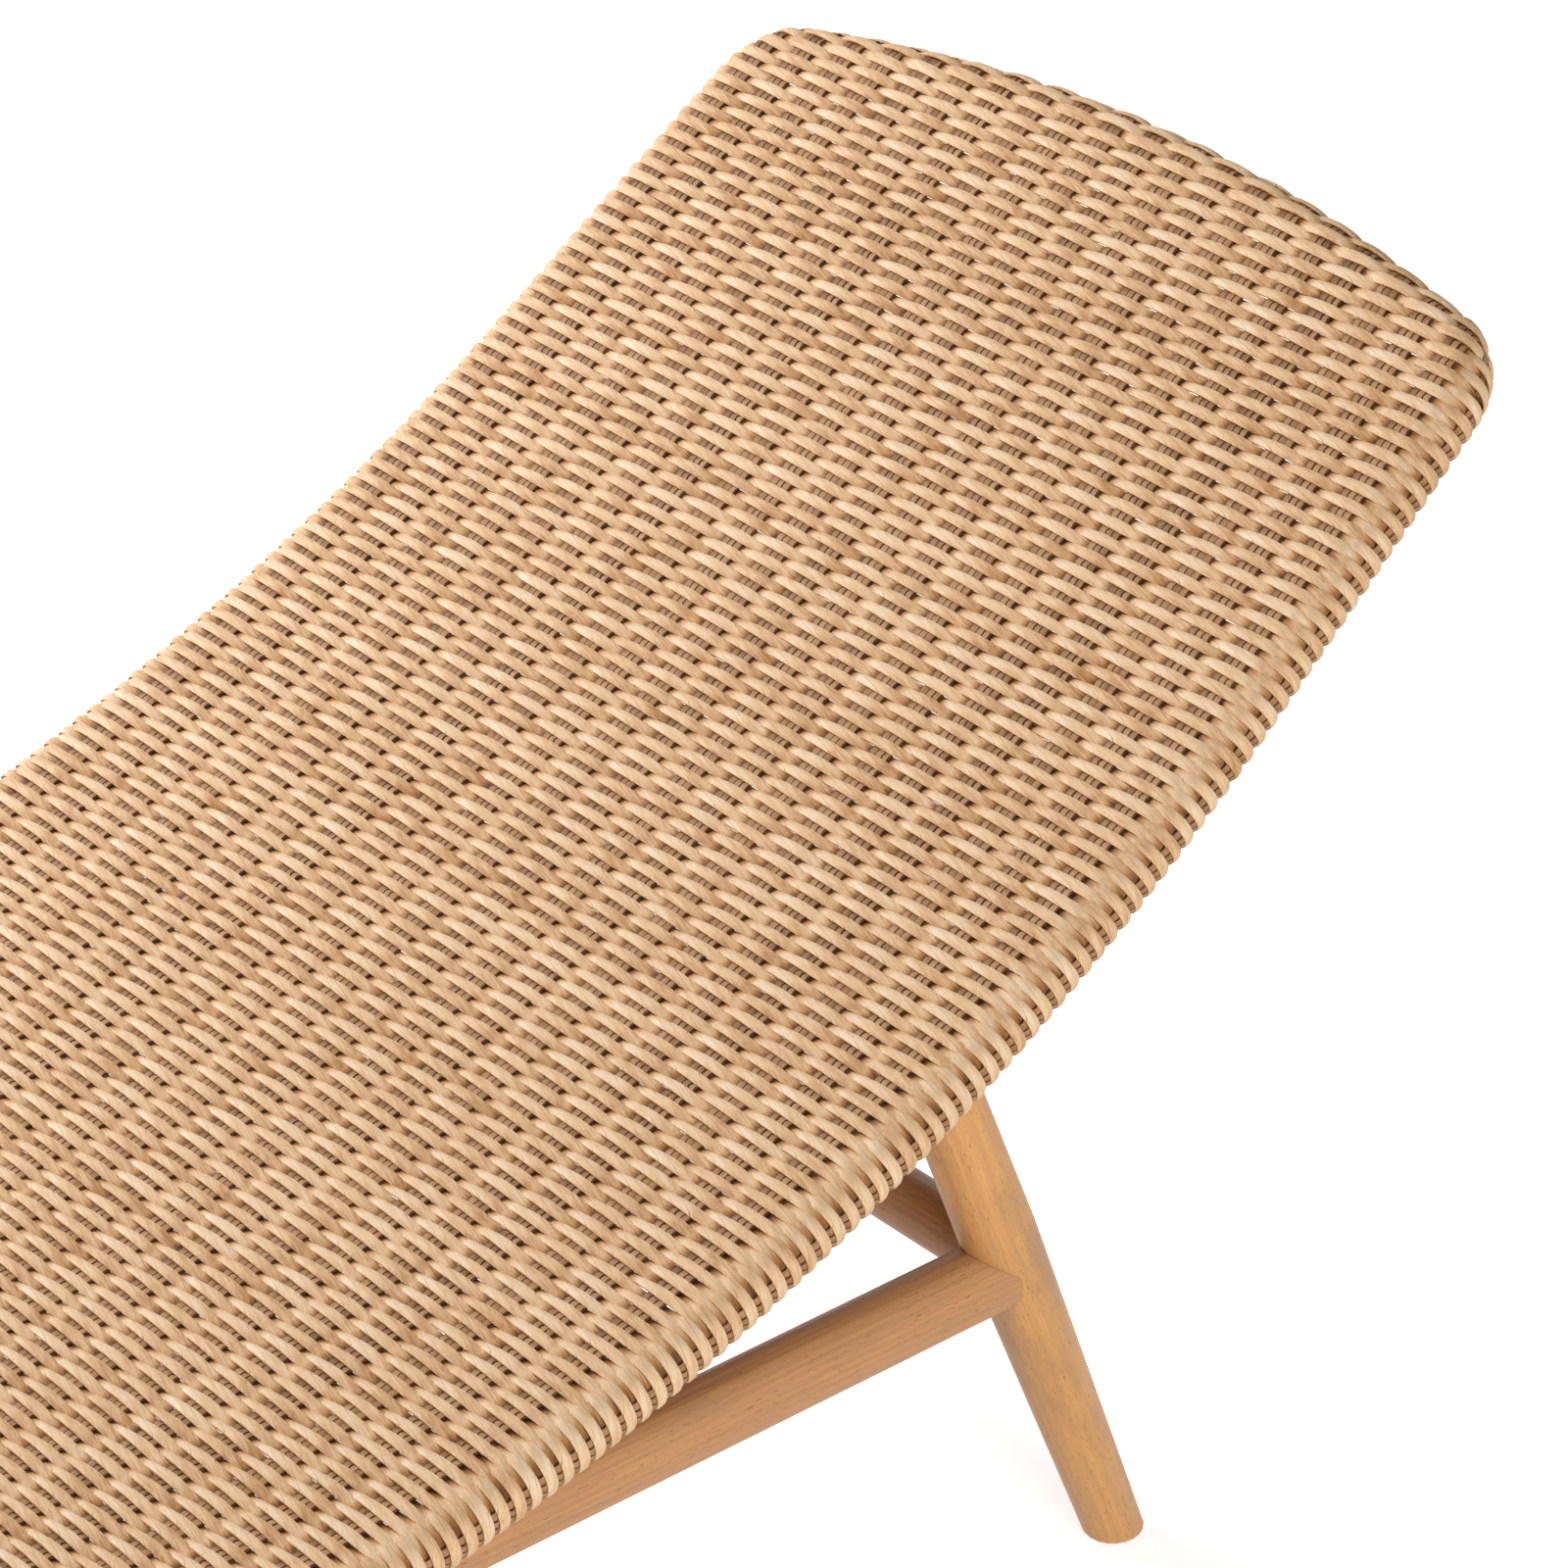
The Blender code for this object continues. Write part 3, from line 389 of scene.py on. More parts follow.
def wicker_material(name, stops, turn, fold_depth, edge_shade):
    """Extruded polyethylene wicker: a thin grained film, folded and for the wefts also twisted into a cord.
    Its grain runs along the strand and catches the light softly. turn is the twist in radians a metre, and
    the edges of a flat strip are darker by edge_shade, painted shade for the dark lines between strips."""
    material = bpy.data.materials.new(name)
    material.use_nodes = True
    shader = material.node_tree.nodes["Principled BSDF"]
    links = material.node_tree.links
    strand = node(material, "Attribute", {"attribute_name": "straight_strand"}).outputs["Vector"]
    tone = node(material, "Attribute", {"attribute_name": "strand_tone"}).outputs["Fac"]
    along = node(material, "SeparateXYZ", Vector=strand)
    twist = node(material, "Math", MULTIPLY, n0=along, n1=turn)
    film = node(material, "VectorRotate", {"rotation_type": "X_AXIS"}, Vector=strand, Angle=twist)

    # The film's grain: ridges along it, and broader cloudy patches
    ridge_place = node(material, "Mapping", Vector=film, Scale=RIDGES_PER_METRE)
    ridges = node(material, "TexNoise", Vector=ridge_place, Scale=1, Detail=3, Roughness=0.65)
    patch_place = node(material, "Mapping", Vector=film, Scale=PATCHES_PER_METRE)
    patches = node(material, "TexNoise", Vector=patch_place, Scale=1, Detail=2)

    # Fine ribs lie round the cord beside the folds, and bend with the patches
    parts = node(material, "SeparateXYZ", Vector=film).outputs
    round_cord = node(material, "Math", ARCTAN2, n0=parts["Z"], n1=parts["Y"])
    fold, line = film_folds(material, round_cord, patches)
    line = node(material, "Math", MULTIPLY, n0=line, n1=fold_depth)
    ribs = node(material, "Math", MULTIPLY, n0=round_cord, n1=FILM_RIBS)
    ribs = node(material, "Math", MULTIPLY_ADD, n0=patches, n1=RIB_WANDER, n2=ribs)
    ribs = node(material, "Math", SINE, n0=ribs)

    level = node(material, "Math", MULTIPLY_ADD, n0=ridges, n1=RIDGE_CONTRAST, n2=-RIDGE_CONTRAST / 2)
    level = node(material, "Math", ADD, n0=level, n1=tone)
    level = node(material, "Math", MULTIPLY_ADD, n0=ribs, n1=RIB_CONTRAST, n2=level)
    level = node(material, "Math", MULTIPLY_ADD, n0=patches, n1=PATCH_CONTRAST, n2=level)
    level = node(material, "Math", SUBTRACT, n0=level, n1=PATCH_CONTRAST / 2)
    # Painted shade: the edges of a flat strip are drawn darker, for the shade between neighbouring strips
    from_middle = node(material, "Math", ABSOLUTE, n0=parts["Y"])
    edge = node(
        material, "MapRange", Value=from_middle, n1=SHADED_EDGE_START, n2=SHADED_EDGE_END, n3=0.0, n4=edge_shade
    )
    level = node(material, "Math", SUBTRACT, n0=level, n1=edge)
    colour = node(material, "ValToRGB", stops=stops, Fac=level)
    dark = linear(FOLD_LINE_COLOUR)
    colour = node(material, "MixRGB", {"blend_type": "MULTIPLY"}, Fac=line, Color1=colour, Color2=dark)
    links.new(colour.outputs[0], shader.inputs["Base Color"])

    relief = node(material, "Math", MULTIPLY_ADD, n0=fold, n1=fold_depth, n2=ridges)
    bump = node(material, "Bump", Height=relief, Distance=WICKER_RELIEF, Strength=RELIEF_STRENGTH)
    links.new(bump.outputs[0], shader.inputs["Normal"])
    low, high = WICKER_ROUGHNESS
    rough = node(material, "MapRange", Value=ridges, n1=NOISE_LOW, n2=NOISE_HIGH, n3=low, n4=high)
    links.new(rough.outputs[0], shader.inputs["Roughness"])
    shader.inputs["IOR"].default_value = 1.5
    shader.inputs["Specular IOR Level"].default_value = WICKER_SPECULAR
    return material


STRIP_WIDTH = 0.0046
STRIP_THICKNESS = 0.0016
STRIP_OFFSETS = np.array((-0.0049, 0, 0.0049))
STRIP_WANDER = 0.0001
STRIP_TILT = 0.00015
STRIP_SWAY = 0.0010
STRIP_RISE = 0.0026
STRIP_ON_TUBE = TUBE_RADIUS + STRIP_THICKNESS / 2 - ROLL_RADIUS
STRIP_ROLL_REACH = 0.066
STRIP_SIDES = 4
STRIP_STEPS = 840
STRIP_TONES = (0.34, 0.54)
# Painted shade on the strips where they lie under the cords
STRIP_PAINTED_SHADE = 0.30
STRIP_PAINTED_SHADE_ABOVE = -0.4
STRIP_PIECES = {"right": (-9.5, -3.5), "middle": (-2.5, 3.5), "left": (4.5, 9.5)}
BESIDE = 0.001

strip_wicker = wicker_material(
    "flat extruded wicker strip",
    ((0.0, "#54300f"), (0.25, "#825730"), (0.5, "#ad825a"), (0.9, "#cda57d")),
    turn=0,
    fold_depth=0,
    edge_shade=0.40,
)
draws = np.random.RandomState(5)


def strip_tone(height):
    """A tone for each strip, a little lighter or darker than its neighbours, with painted shade under the
    cords.
    """
    under = np.clip(height - STRIP_PAINTED_SHADE_ABOVE, 0, 1)
    return draws.uniform(*STRIP_TONES, (len(height), 1)) - STRIP_PAINTED_SHADE * under


def strip_places(group, offset):
    """The places along the panel of a warp strip's points, from its end under one end tube to the other."""
    y = group * group_pitch(half_row_places) + offset
    distance, _ = past_outline(half_row_places, y)
    inside = half_row_places[distance < STRIP_ROLL_REACH]
    return np.linspace(inside[0], inside[-1], STRIP_STEPS + 1)


def add_warp(name, first_group, last_group):
    groups = np.arange(first_group, last_group + 1).repeat(len(STRIP_OFFSETS))
    offsets = np.tile(STRIP_OFFSETS, len(groups) // len(STRIP_OFFSETS))
    offsets = offsets + draws.uniform(-STRIP_WANDER, STRIP_WANDER, len(offsets))
    along = np.array([strip_places(group, offset) for group, offset in zip(groups, offsets)])
    groups, offsets = groups[:, None], offsets[:, None]
    y = groups * group_pitch(along) + offsets
    height = weft_height(groups, np.interp(along, row_places, ROW_NUMBERS))
    share = on_tube(along, y)
    lift = (STRIP_ON_TUBE + STRIP_RISE * (1 - height) / 2) * share - STRIP_SWAY * height * (1 - share)
    tilt = draws.uniform(-STRIP_TILT, STRIP_TILT, groups.shape)
    centre = rolled(along, y, lift, STRIP_THICKNESS / 2)
    beside = rolled(along, y + BESIDE, lift + tilt, STRIP_THICKNESS / 2)
    size = np.ones(along.shape)
    tone = strip_tone(height * (1 - share))
    add_strands(
        name, centre, beside, size * STRIP_WIDTH, size * STRIP_THICKNESS, tone, 0 * size,
        STRIP_SIDES, strip_wicker,
    )


for warp_place, (first_group, last_group) in STRIP_PIECES.items():
    add_warp(f"warp_strips_{warp_place}", first_group, last_group)

# The edge strips: a last group of the same strips, laid along the outside of each side tube. The cords
# that go over them press them to the tube, and they ride up over the cords that go under them.

EDGE_GROUP = OUTER_GROUP + 1
EDGE_STRIP_ANGLES = np.radians((78, 97, 116, 135))
EDGE_GROUP_ANGLE = math.radians(97)
EDGE_STRIP_RADIUS = TUBE_RADIUS + STRIP_THICKNESS / 2
EDGE_STRIP_LEAST_TURN = 0.3
EDGE_BESIDE_ANGLE = 0.05


def edge_strip_route(side):
    """The frame tube's line at each half row of one side, with the direction outwards."""
    on_side = (side * outwards[:, 1] > EDGE_STRIP_LEAST_TURN) & (side * outline[:, 1] > 0)
    beside, out = outline[on_side], outwards[on_side]
    order = np.argsort(beside[:, 0])
    known, values = beside[order, 0], (beside[order, 1], out[order, 0], out[order, 1])
    along = half_row_places[(half_row_places > known[0]) & (half_row_places < known[-1])]
    return (along, *(np.interp(along, known, value) for value in values))


def add_edge_strips(name, side):
    along, y, out_along, out_y = edge_strip_route(side)
    height = weft_height(side * EDGE_GROUP, np.interp(along, row_places, ROW_NUMBERS))
    radius = EDGE_STRIP_RADIUS + STRIP_RISE * (1 - height) / 2
    lines = []
    for extra in (0, EDGE_BESIDE_ANGLE * side):
        angle = EDGE_STRIP_ANGLES[:, None] + extra
        outward, up = radius * np.sin(angle), radius * np.cos(angle)
        lines.append(on_panel(along + out_along * outward, y + out_y * outward, TUBE_DEPTH - up))
    centre, beside = lines
    size = np.ones(centre.shape[:2])
    tone = strip_tone(np.minimum(height, 0) * size)
    add_strands(
        name, centre, beside, size * STRIP_WIDTH, size * STRIP_THICKNESS, tone, 0 * size,
        STRIP_SIDES, strip_wicker,
    )


add_edge_strips("edge_strips_left", 1)
add_edge_strips("edge_strips_right", -1)

# The weft: thick cords of twisted wicker film, woven across over one warp group and under the next, row
# against row. At the sides they loop right round the tube, one row over the edge strips and the next row
# under them, and end tucked up below the weave.

CORD_WIDTH = (0.0060, 0.0066)
CORD_THICKNESS = (0.0037, 0.0028)
CORD_LOOP_WIDTH = 0.0068
CORD_PRESSED = 0.0026
CORD_LIFT = 0.0020
CORD_ROLL = math.tan(math.radians(18))
CORD_FLATNESS = 0.7
CORD_SIDES = 8
CORD_FLAT_POINTS = 61
CORD_LOOP_POINTS = 31
CORD_FLAT_SHARE = 0.8
CORD_TWIST_LENGTH = 0.050
CORD_TONES = (0.42, 0.58)
# Painted shade where the cord dives under a group, eased where it lies on the tube
CORD_DIP_PAINTED_SHADE = 0.12
DIP_SHADE_GROWTH = 1.4
TUBE_SHADE_EASING = 0.6
# Painted light along the floats, lighter towards one end of each and a little darker towards the other
FLOAT_PAINTED_LIGHT = 0.11
FLOAT_PAINTED_LIGHT_START = -0.3
# How strongly each side of the cord gets painted shade, by the cord's height
INNER_SHADE_HEIGHTS = (-1, -0.3, 0.0)
INNER_SHADE_SHARES = (-0.6, 0, 1)
FLOATS = np.arange(-15, 16)
FLOAT_SLACK = 0.0003
FLOAT_SWELL = (0.96, 1.05)
FLOAT_TONE = 0.05
ROW_ROLL_REACH = 0.040
LOOP_REACH = 0.068
LOOP_LEAST_TURN = 0.5
REACH_SEARCH = np.linspace(0, 0.5, 1001)
ROWS_IN_PIECE = 64

cord_wicker = wicker_material(
    "twisted wicker cord",
    ((0.0, "#5a2f08"), (0.22, "#ab7640"), (0.5, "#dfb78b"), (0.95, "#f7e4cb")),
    turn=-2 * math.pi / CORD_TWIST_LENGTH,
    fold_depth=1,
    edge_shade=0,
)


def row_reach(along):
    """How far a row reaches to each side in flat y, and the y of the edge strips or None without them."""
    distance, out = past_outline(along, REACH_SEARCH)
    if distance[0] > ROW_ROLL_REACH:
        return None
    loops = np.interp(0, distance, out[:, 1]) > LOOP_LEAST_TURN
    if not loops:
        return np.interp(ROW_ROLL_REACH, distance, REACH_SEARCH), None
    strips = ROLL_RADIUS * EDGE_GROUP_ANGLE
    return np.interp(LOOP_REACH, distance, REACH_SEARCH), np.interp(strips, distance, REACH_SEARCH)


def row_points(along, reach, strips):
    """The flat y of the points of one row from side to side, and the warp group that each lies at."""
    pitch = group_pitch(along)
    last = OUTER_GROUP * pitch
    inner = min(last, reach * CORD_FLAT_SHARE)
    looped = np.linspace(inner, reach, CORD_LOOP_POINTS)
    half = np.concatenate((np.linspace(0, inner, CORD_FLAT_POINTS), looped[1:]))
    y = np.concatenate((-half[:0:-1], half))
    groups = y / pitch
    if strips:
        beyond = np.interp(np.abs(y), (last, strips), (OUTER_GROUP, EDGE_GROUP))
        groups = np.where(np.abs(y) > last, np.sign(y) * beyond, groups)
    return y, groups


def cord_section(height, at_edge):
    """The cord's width and thickness: flattest where it lies over or under a group, broad where it loops
    over the edge strips, and pressed flat where it goes under them."""
    over, under = at_edge * (height > 0), at_edge * (height < 0)
    width = CORD_WIDTH[0] + (CORD_WIDTH[1] - CORD_WIDTH[0]) * np.abs(height)
    width = width + (CORD_LOOP_WIDTH - width) * over
    width = width + (CORD_WIDTH[0] - width) * under
    thickness = CORD_THICKNESS[0] + (CORD_THICKNESS[1] - CORD_THICKNESS[0]) * np.abs(height)
    thickness = thickness + (CORD_PRESSED - thickness) * under
    return width, thickness


def cord_tone(height, leaning, at_edge):
    """Painted light and shade along each float, lighter towards one end and darker towards the other, and
    painted shade where the cord dives under a group, less of it where it lies on the tube.
    """
    # Painted light and shade along each float
    painted_light = FLOAT_PAINTED_LIGHT * (leaning - FLOAT_PAINTED_LIGHT_START) * (height > 0)
    # Painted shade where the cord dives
    dip_shade = CORD_DIP_PAINTED_SHADE * np.clip(-DIP_SHADE_GROWTH * height, 0, 1)
    return painted_light - dip_shade * (1 - TUBE_SHADE_EASING * at_edge)


def add_weft(name, rows):
    lines = {kind: [] for kind in ("centre", "beside", "width", "thickness", "tone", "inner")}
    for number, along, reach, strips in rows:
        y, groups = row_points(along, reach, strips)
        slack = np.interp(groups, FLOATS, draws.uniform(-FLOAT_SLACK, FLOAT_SLACK, len(FLOATS)))
        swell = np.interp(groups, FLOATS, draws.uniform(*FLOAT_SWELL, len(FLOATS)))
        tone = np.interp(groups, FLOATS, draws.uniform(-FLOAT_TONE, FLOAT_TONE, len(FLOATS)))
        height = np.tanh(CORD_FLATNESS * weft_height(groups, number)) / math.tanh(CORD_FLATNESS)
        at_edge = on_tube(along, y)
        leaning = np.sin(math.pi * (groups - 0.5 + number)) * (1 - at_edge)
        width, thickness = cord_section(height, at_edge)
        lift = CORD_LIFT * height
        roll = BESIDE * CORD_ROLL * leaning
        lines["centre"].append(rolled(along + slack, y, lift, thickness / 2))
        lines["beside"].append(rolled(along + slack - BESIDE, y, lift + roll, thickness / 2))
        lines["width"].append(width * swell)
        lines["thickness"].append(thickness)
        lines["tone"].append(tone + cord_tone(height, leaning, at_edge) + draws.uniform(*CORD_TONES))
        lines["inner"].append(np.interp(height, INNER_SHADE_HEIGHTS, INNER_SHADE_SHARES))
    arrays = [np.array(line) for line in lines.values()]
    add_strands(name, *arrays, CORD_SIDES, cord_wicker)


weft = []
for row_number, row_along in zip(ROW_NUMBERS, row_places):
    if -FOOT_LENGTH - ROW_ROLL_REACH < row_along < BACK_LENGTH + ROW_ROLL_REACH:
        found = row_reach(row_along)
        if found:
            weft.append((row_number, row_along, *found))
for first_row in range(0, len(weft), ROWS_IN_PIECE):
    add_weft(f"weft_rows_{first_row // ROWS_IN_PIECE + 1}", weft[first_row:first_row + ROWS_IN_PIECE])

# The base: legs, side rails and stretchers, turned from a light tropical hardwood and oiled. Rails and
# stretchers are coped to the round legs and doweled and glued there. The oil leaves a soft satin and has
# gone in unevenly, darker and greyer round the joints. Rails and stretchers get a darker tone than the
# legs: painted shade for the shade of the panel above them.

JOINT_SPREAD_X = 0.650
JOINT_INSET_Y = 0.270
JOINT_HEIGHT = 0.226
LEG_LEAN = math.radians(21.5)
LEG_TONE = 0.58
# Rails and stretchers are darker than the legs: painted shade for the panel's shade over them
RAIL_PAINTED_SHADE_TONE = 0.38
STRETCHER_PAINTED_SHADE_TONE = 0.36
MERGE_DISTANCE = 0.00001
FLAT_ANGLE = math.radians(1)
SHARP_EDGE_ANGLE = math.radians(35)
GRAIN_START = (0, 9)
UPRIGHT = 0.5


def finished_copy(node_name, finish, material):
    """A smooth copy of a CAD node with its finish, which stands for it."""
    mesh = frame["nodes"][node_name].data.copy()
    shape = bmesh.new()
    shape.from_mesh(mesh)
    bmesh.ops.remove_doubles(shape, verts=shape.verts, dist=MERGE_DISTANCE)
    bmesh.ops.dissolve_limit(shape, angle_limit=FLAT_ANGLE, verts=shape.verts, edges=shape.edges)
    shape.to_mesh(mesh)
    shape.free()
    mesh.materials.clear()
    mesh.materials.append(material)
    mesh.shade_smooth()
    mesh.set_sharp_from_angle(angle=SHARP_EDGE_ANGLE)
    piece = bpy.data.objects.new(f"{finish}_{node_name}", mesh)
    bpy.context.scene.collection.objects.link(piece)
    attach(piece, body)
    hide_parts(node_name)
    return piece


def add_grain_place(piece, start, direction, joint_reach, tone):
    """Stores two attributes for the wood at each point. grain_place is the place along and across the
    piece's own centre line, in a stretch of wood of its own. wood_joint holds how far along that line the
    point lies from the start, how far along it the joints lie, and the tone of the piece."""
    mesh = piece.data
    points = np.empty(len(mesh.vertices) * 3, np.float32)
    mesh.vertices.foreach_get("co", points)
    direction = np.array(direction)
    sideways = unit(np.cross((0, 0, 1) if abs(direction[2]) < UPRIGHT else (1, 0, 0), direction))
    upwards = np.cross(direction, sideways)
    offset = points.reshape(-1, 3) - np.array(start)
    reach = offset @ direction
    along = reach + draws.uniform(*GRAIN_START)
    place = np.stack((along, offset @ sideways, offset @ upwards), axis=1)
    store(mesh, "grain_place", "FLOAT_VECTOR", place)
    joint = np.stack((reach, np.full_like(reach, joint_reach), np.full_like(reach, tone)), axis=1)
    store(mesh, "wood_joint", "FLOAT_VECTOR", joint)


# Streaks of fibre are some 80 mm long and 1.4 mm wide, with finer ones of 22 mm by 0.4 mm between them.
# Stains are some 80 mm by 30 mm. Pores are 6 mm by 0.7 mm, wider than real ones so that they show. The
# growth rings bend slowly, over some 200 mm.
FIBRES_PER_METRE = (12, 700, 700)
FIBRE_CONTRAST = 0.42
FINE_FIBRES_PER_METRE = (45, 2400, 2400)
FINE_FIBRE_CONTRAST = 0.30
PITH_PLACE = (0, 0.030, 0.017)
RING_PITCH = 0.0045
RING_BENDS_PER_METRE = (5, 30, 30)
RING_BEND = 14
RING_CONTRAST = 0.030
STAINS_PER_METRE = (13, 34, 34)
STAIN_START = 0.52
STAIN_FULL = 0.80
STAIN_STRENGTH = 0.8
JOINT_STAIN = 0.14
JOINT_STAIN_NEAR = 0.020
JOINT_STAIN_FAR = 0.110
PORES_PER_METRE = (170, 1500, 1500)
PORE_START = 0.66
PORE_FULL = 0.74
PORE_COLOUR = "#8a5a34"
WOOD_RELIEF = 0.00012
WOOD_ROUGHNESS = (0.40, 0.56)


def growth_rings(material, place):
    """Rings round a pith outside the piece, bent by slow changes along it, from -1 to 1."""
    bend_place = node(material, "Mapping", Vector=place, Scale=RING_BENDS_PER_METRE)
    bend = node(material, "TexNoise", Vector=bend_place, Scale=1, Detail=2)
    from_pith = node(material, "Mapping", Vector=place, Location=PITH_PLACE, Scale=(0, 1, 1))
    reach = node(material, "VectorMath", {"operation": "LENGTH"}, n0=from_pith).outputs["Value"]
    turns = node(material, "Math", MULTIPLY, n0=reach, n1=2 * math.pi / RING_PITCH)
    bent = node(material, "Math", MULTIPLY_ADD, n0=bend, n1=RING_BEND, n2=turns)
    return node(material, "Math", SINE, n0=bent)


def stain_share(material, place, reach, joint_reach):
    """How much of the stain shows: cloudy, with soft edges, and more of it near the joints."""
    cloud_place = node(material, "Mapping", Vector=place, Scale=STAINS_PER_METRE)
    cloud = node(material, "TexNoise", Vector=cloud_place, Scale=1, Detail=4, Roughness=0.62)
    side_reach = node(material, "Math", ABSOLUTE, n0=reach)
    apart = node(material, "Math", SUBTRACT, n0=side_reach, n1=joint_reach)
    apart = node(material, "Math", ABSOLUTE, n0=apart)
    near = node(
        material, "MapRange", Value=apart, n1=JOINT_STAIN_NEAR, n2=JOINT_STAIN_FAR, n3=JOINT_STAIN, n4=0.0
    )
    cloud = node(material, "Math", ADD, n0=cloud, n1=near)
    return node(
        material, "MapRange", Value=cloud, n1=STAIN_START, n2=STAIN_FULL, n3=0.0, n4=STAIN_STRENGTH
    )


def turned_wood(name, stops, stain, pore_strength):
    """A fine-grained hardwood, turned and sanded: long fibres, faint growth rings where the turning cuts
    them, short dark pores, and broad darker stains where the oil or glue went in deeper."""
    material = bpy.data.materials.new(name)
    material.use_nodes = True
    shader = material.node_tree.nodes["Principled BSDF"]
    links = material.node_tree.links
    place = node(material, "Attribute", {"attribute_name": "grain_place"}).outputs["Vector"]
    joint_place = node(material, "Attribute", {"attribute_name": "wood_joint"}).outputs["Vector"]
    reach, joint_reach, tone = node(material, "SeparateXYZ", Vector=joint_place).outputs

    fibre_place = node(material, "Mapping", Vector=place, Scale=FIBRES_PER_METRE)
    fibres = node(material, "TexNoise", Vector=fibre_place, Scale=1, Detail=4, Roughness=0.6)
    fine_place = node(material, "Mapping", Vector=place, Scale=FINE_FIBRES_PER_METRE)
    fine = node(material, "TexNoise", Vector=fine_place, Scale=1, Detail=2)
    rings = growth_rings(material, place)
    level = node(material, "Math", MULTIPLY_ADD, n0=fibres, n1=FIBRE_CONTRAST, n2=-FIBRE_CONTRAST / 2)
    level = node(material, "Math", ADD, n0=level, n1=tone)
    level = node(material, "Math", MULTIPLY_ADD, n0=fine, n1=FINE_FIBRE_CONTRAST, n2=level)
    level = node(material, "Math", MULTIPLY_ADD, n0=rings, n1=RING_CONTRAST, n2=level)
    level = node(material, "Math", SUBTRACT, n0=level, n1=FINE_FIBRE_CONTRAST / 2)
    colour = node(material, "ValToRGB", stops=stops, Fac=level)

    share = stain_share(material, place, reach, joint_reach)
    colour = node(
        material, "MixRGB", {"blend_type": "MIX"}, Fac=share, Color1=colour, Color2=linear(stain)
    )
    pore_place = node(material, "Mapping", Vector=place, Scale=PORES_PER_METRE)
    pores = node(material, "TexNoise", Vector=pore_place, Scale=1, Detail=1)
    pores = node(material, "MapRange", Value=pores, n1=PORE_START, n2=PORE_FULL, n3=0.0, n4=pore_strength)
    colour = node(
        material, "MixRGB", {"blend_type": "MULTIPLY"}, Fac=pores, Color1=colour, Color2=linear(PORE_COLOUR)
    )
    links.new(colour.outputs[0], shader.inputs["Base Color"])

    relief = node(material, "Math", SUBTRACT, n0=fine, n1=pores)
    bump = node(material, "Bump", Height=relief, Distance=WOOD_RELIEF, Strength=RELIEF_STRENGTH)
    links.new(bump.outputs[0], shader.inputs["Normal"])
    low, high = WOOD_ROUGHNESS
    rough = node(material, "MapRange", Value=fibres, n1=NOISE_LOW, n2=NOISE_HIGH, n3=low, n4=high)
    links.new(rough.outputs[0], shader.inputs["Roughness"])
    shader.inputs["IOR"].default_value = 1.5
    return material


oiled_hardwood = turned_wood(
    "turned oiled hardwood",
    ((0.0, "#8f6340"), (0.34, "#b9855a"), (0.6, "#d69c5c"), (1.0, "#eec088")),
    stain="#b08357",
    pore_strength=0.6,
)

for end_name, end in (("head", 1), ("foot", -1)):
    upward = (-end * math.sin(LEG_LEAN), 0, math.cos(LEG_LEAN))
    for side_name, side in (("left", 1), ("right", -1)):
        joint = (end * JOINT_SPREAD_X, side * JOINT_INSET_Y, JOINT_HEIGHT)
        leg = finished_copy(f"leg_{end_name}_{side_name}", "oiled", oiled_hardwood)
        add_grain_place(leg, joint, upward, 0, LEG_TONE)
    stretcher = finished_copy(f"stretcher_{end_name}", "oiled", oiled_hardwood)
    middle = (end * JOINT_SPREAD_X, 0, JOINT_HEIGHT)
    add_grain_place(stretcher, middle, (0, 1, 0), JOINT_INSET_Y, STRETCHER_PAINTED_SHADE_TONE)
for side_name, side in (("left", 1), ("right", -1)):
    rail = finished_copy(f"side_rail_{side_name}", "oiled", oiled_hardwood)
    middle = (0, side * JOINT_INSET_Y, JOINT_HEIGHT)
    add_grain_place(rail, middle, (1, 0, 0), JOINT_SPREAD_X, RAIL_PAINTED_SHADE_TONE)

# The dowels in the joints: plain beech, grooved and glued, and out of sight. Beech is paler and evener
# than the hardwood of the base.

DOWEL_TONE = 0.5

plain_beech = turned_wood(
    "plain beech dowel",
    ((0.0, "#b58a5c"), (0.5, "#d3ab7d"), (1.0, "#e6c79e")),
    stain="#c19a6d",
    pore_strength=0.5,
)

for end_name, end in (("head", 1), ("foot", -1)):
    for side_name, side in (("left", 1), ("right", -1)):
        joint = (end * JOINT_SPREAD_X, side * JOINT_INSET_Y, JOINT_HEIGHT)
        for member, direction in (("rail", (1, 0, 0)), ("stretcher", (0, 1, 0))):
            dowel = finished_copy(f"dowel_{member}_{end_name}_{side_name}", "plain", plain_beech)
            add_grain_place(dowel, joint, direction, 0, DOWEL_TONE)

# The frame inside the weave: aluminium tube, bent and welded, powder-coated in a tan near that of the
# wicker, with bosses and leg brackets welded on. The coat hides the metal under a fine orange peel.

COAT_PEEL = 0.0011
COAT_RELIEF = 0.00008
COAT_ROUGHNESS = (0.46, 0.60)
COAT_CLOUDS_PER_METRE = 14
PEEL_CONTRAST = 0.3


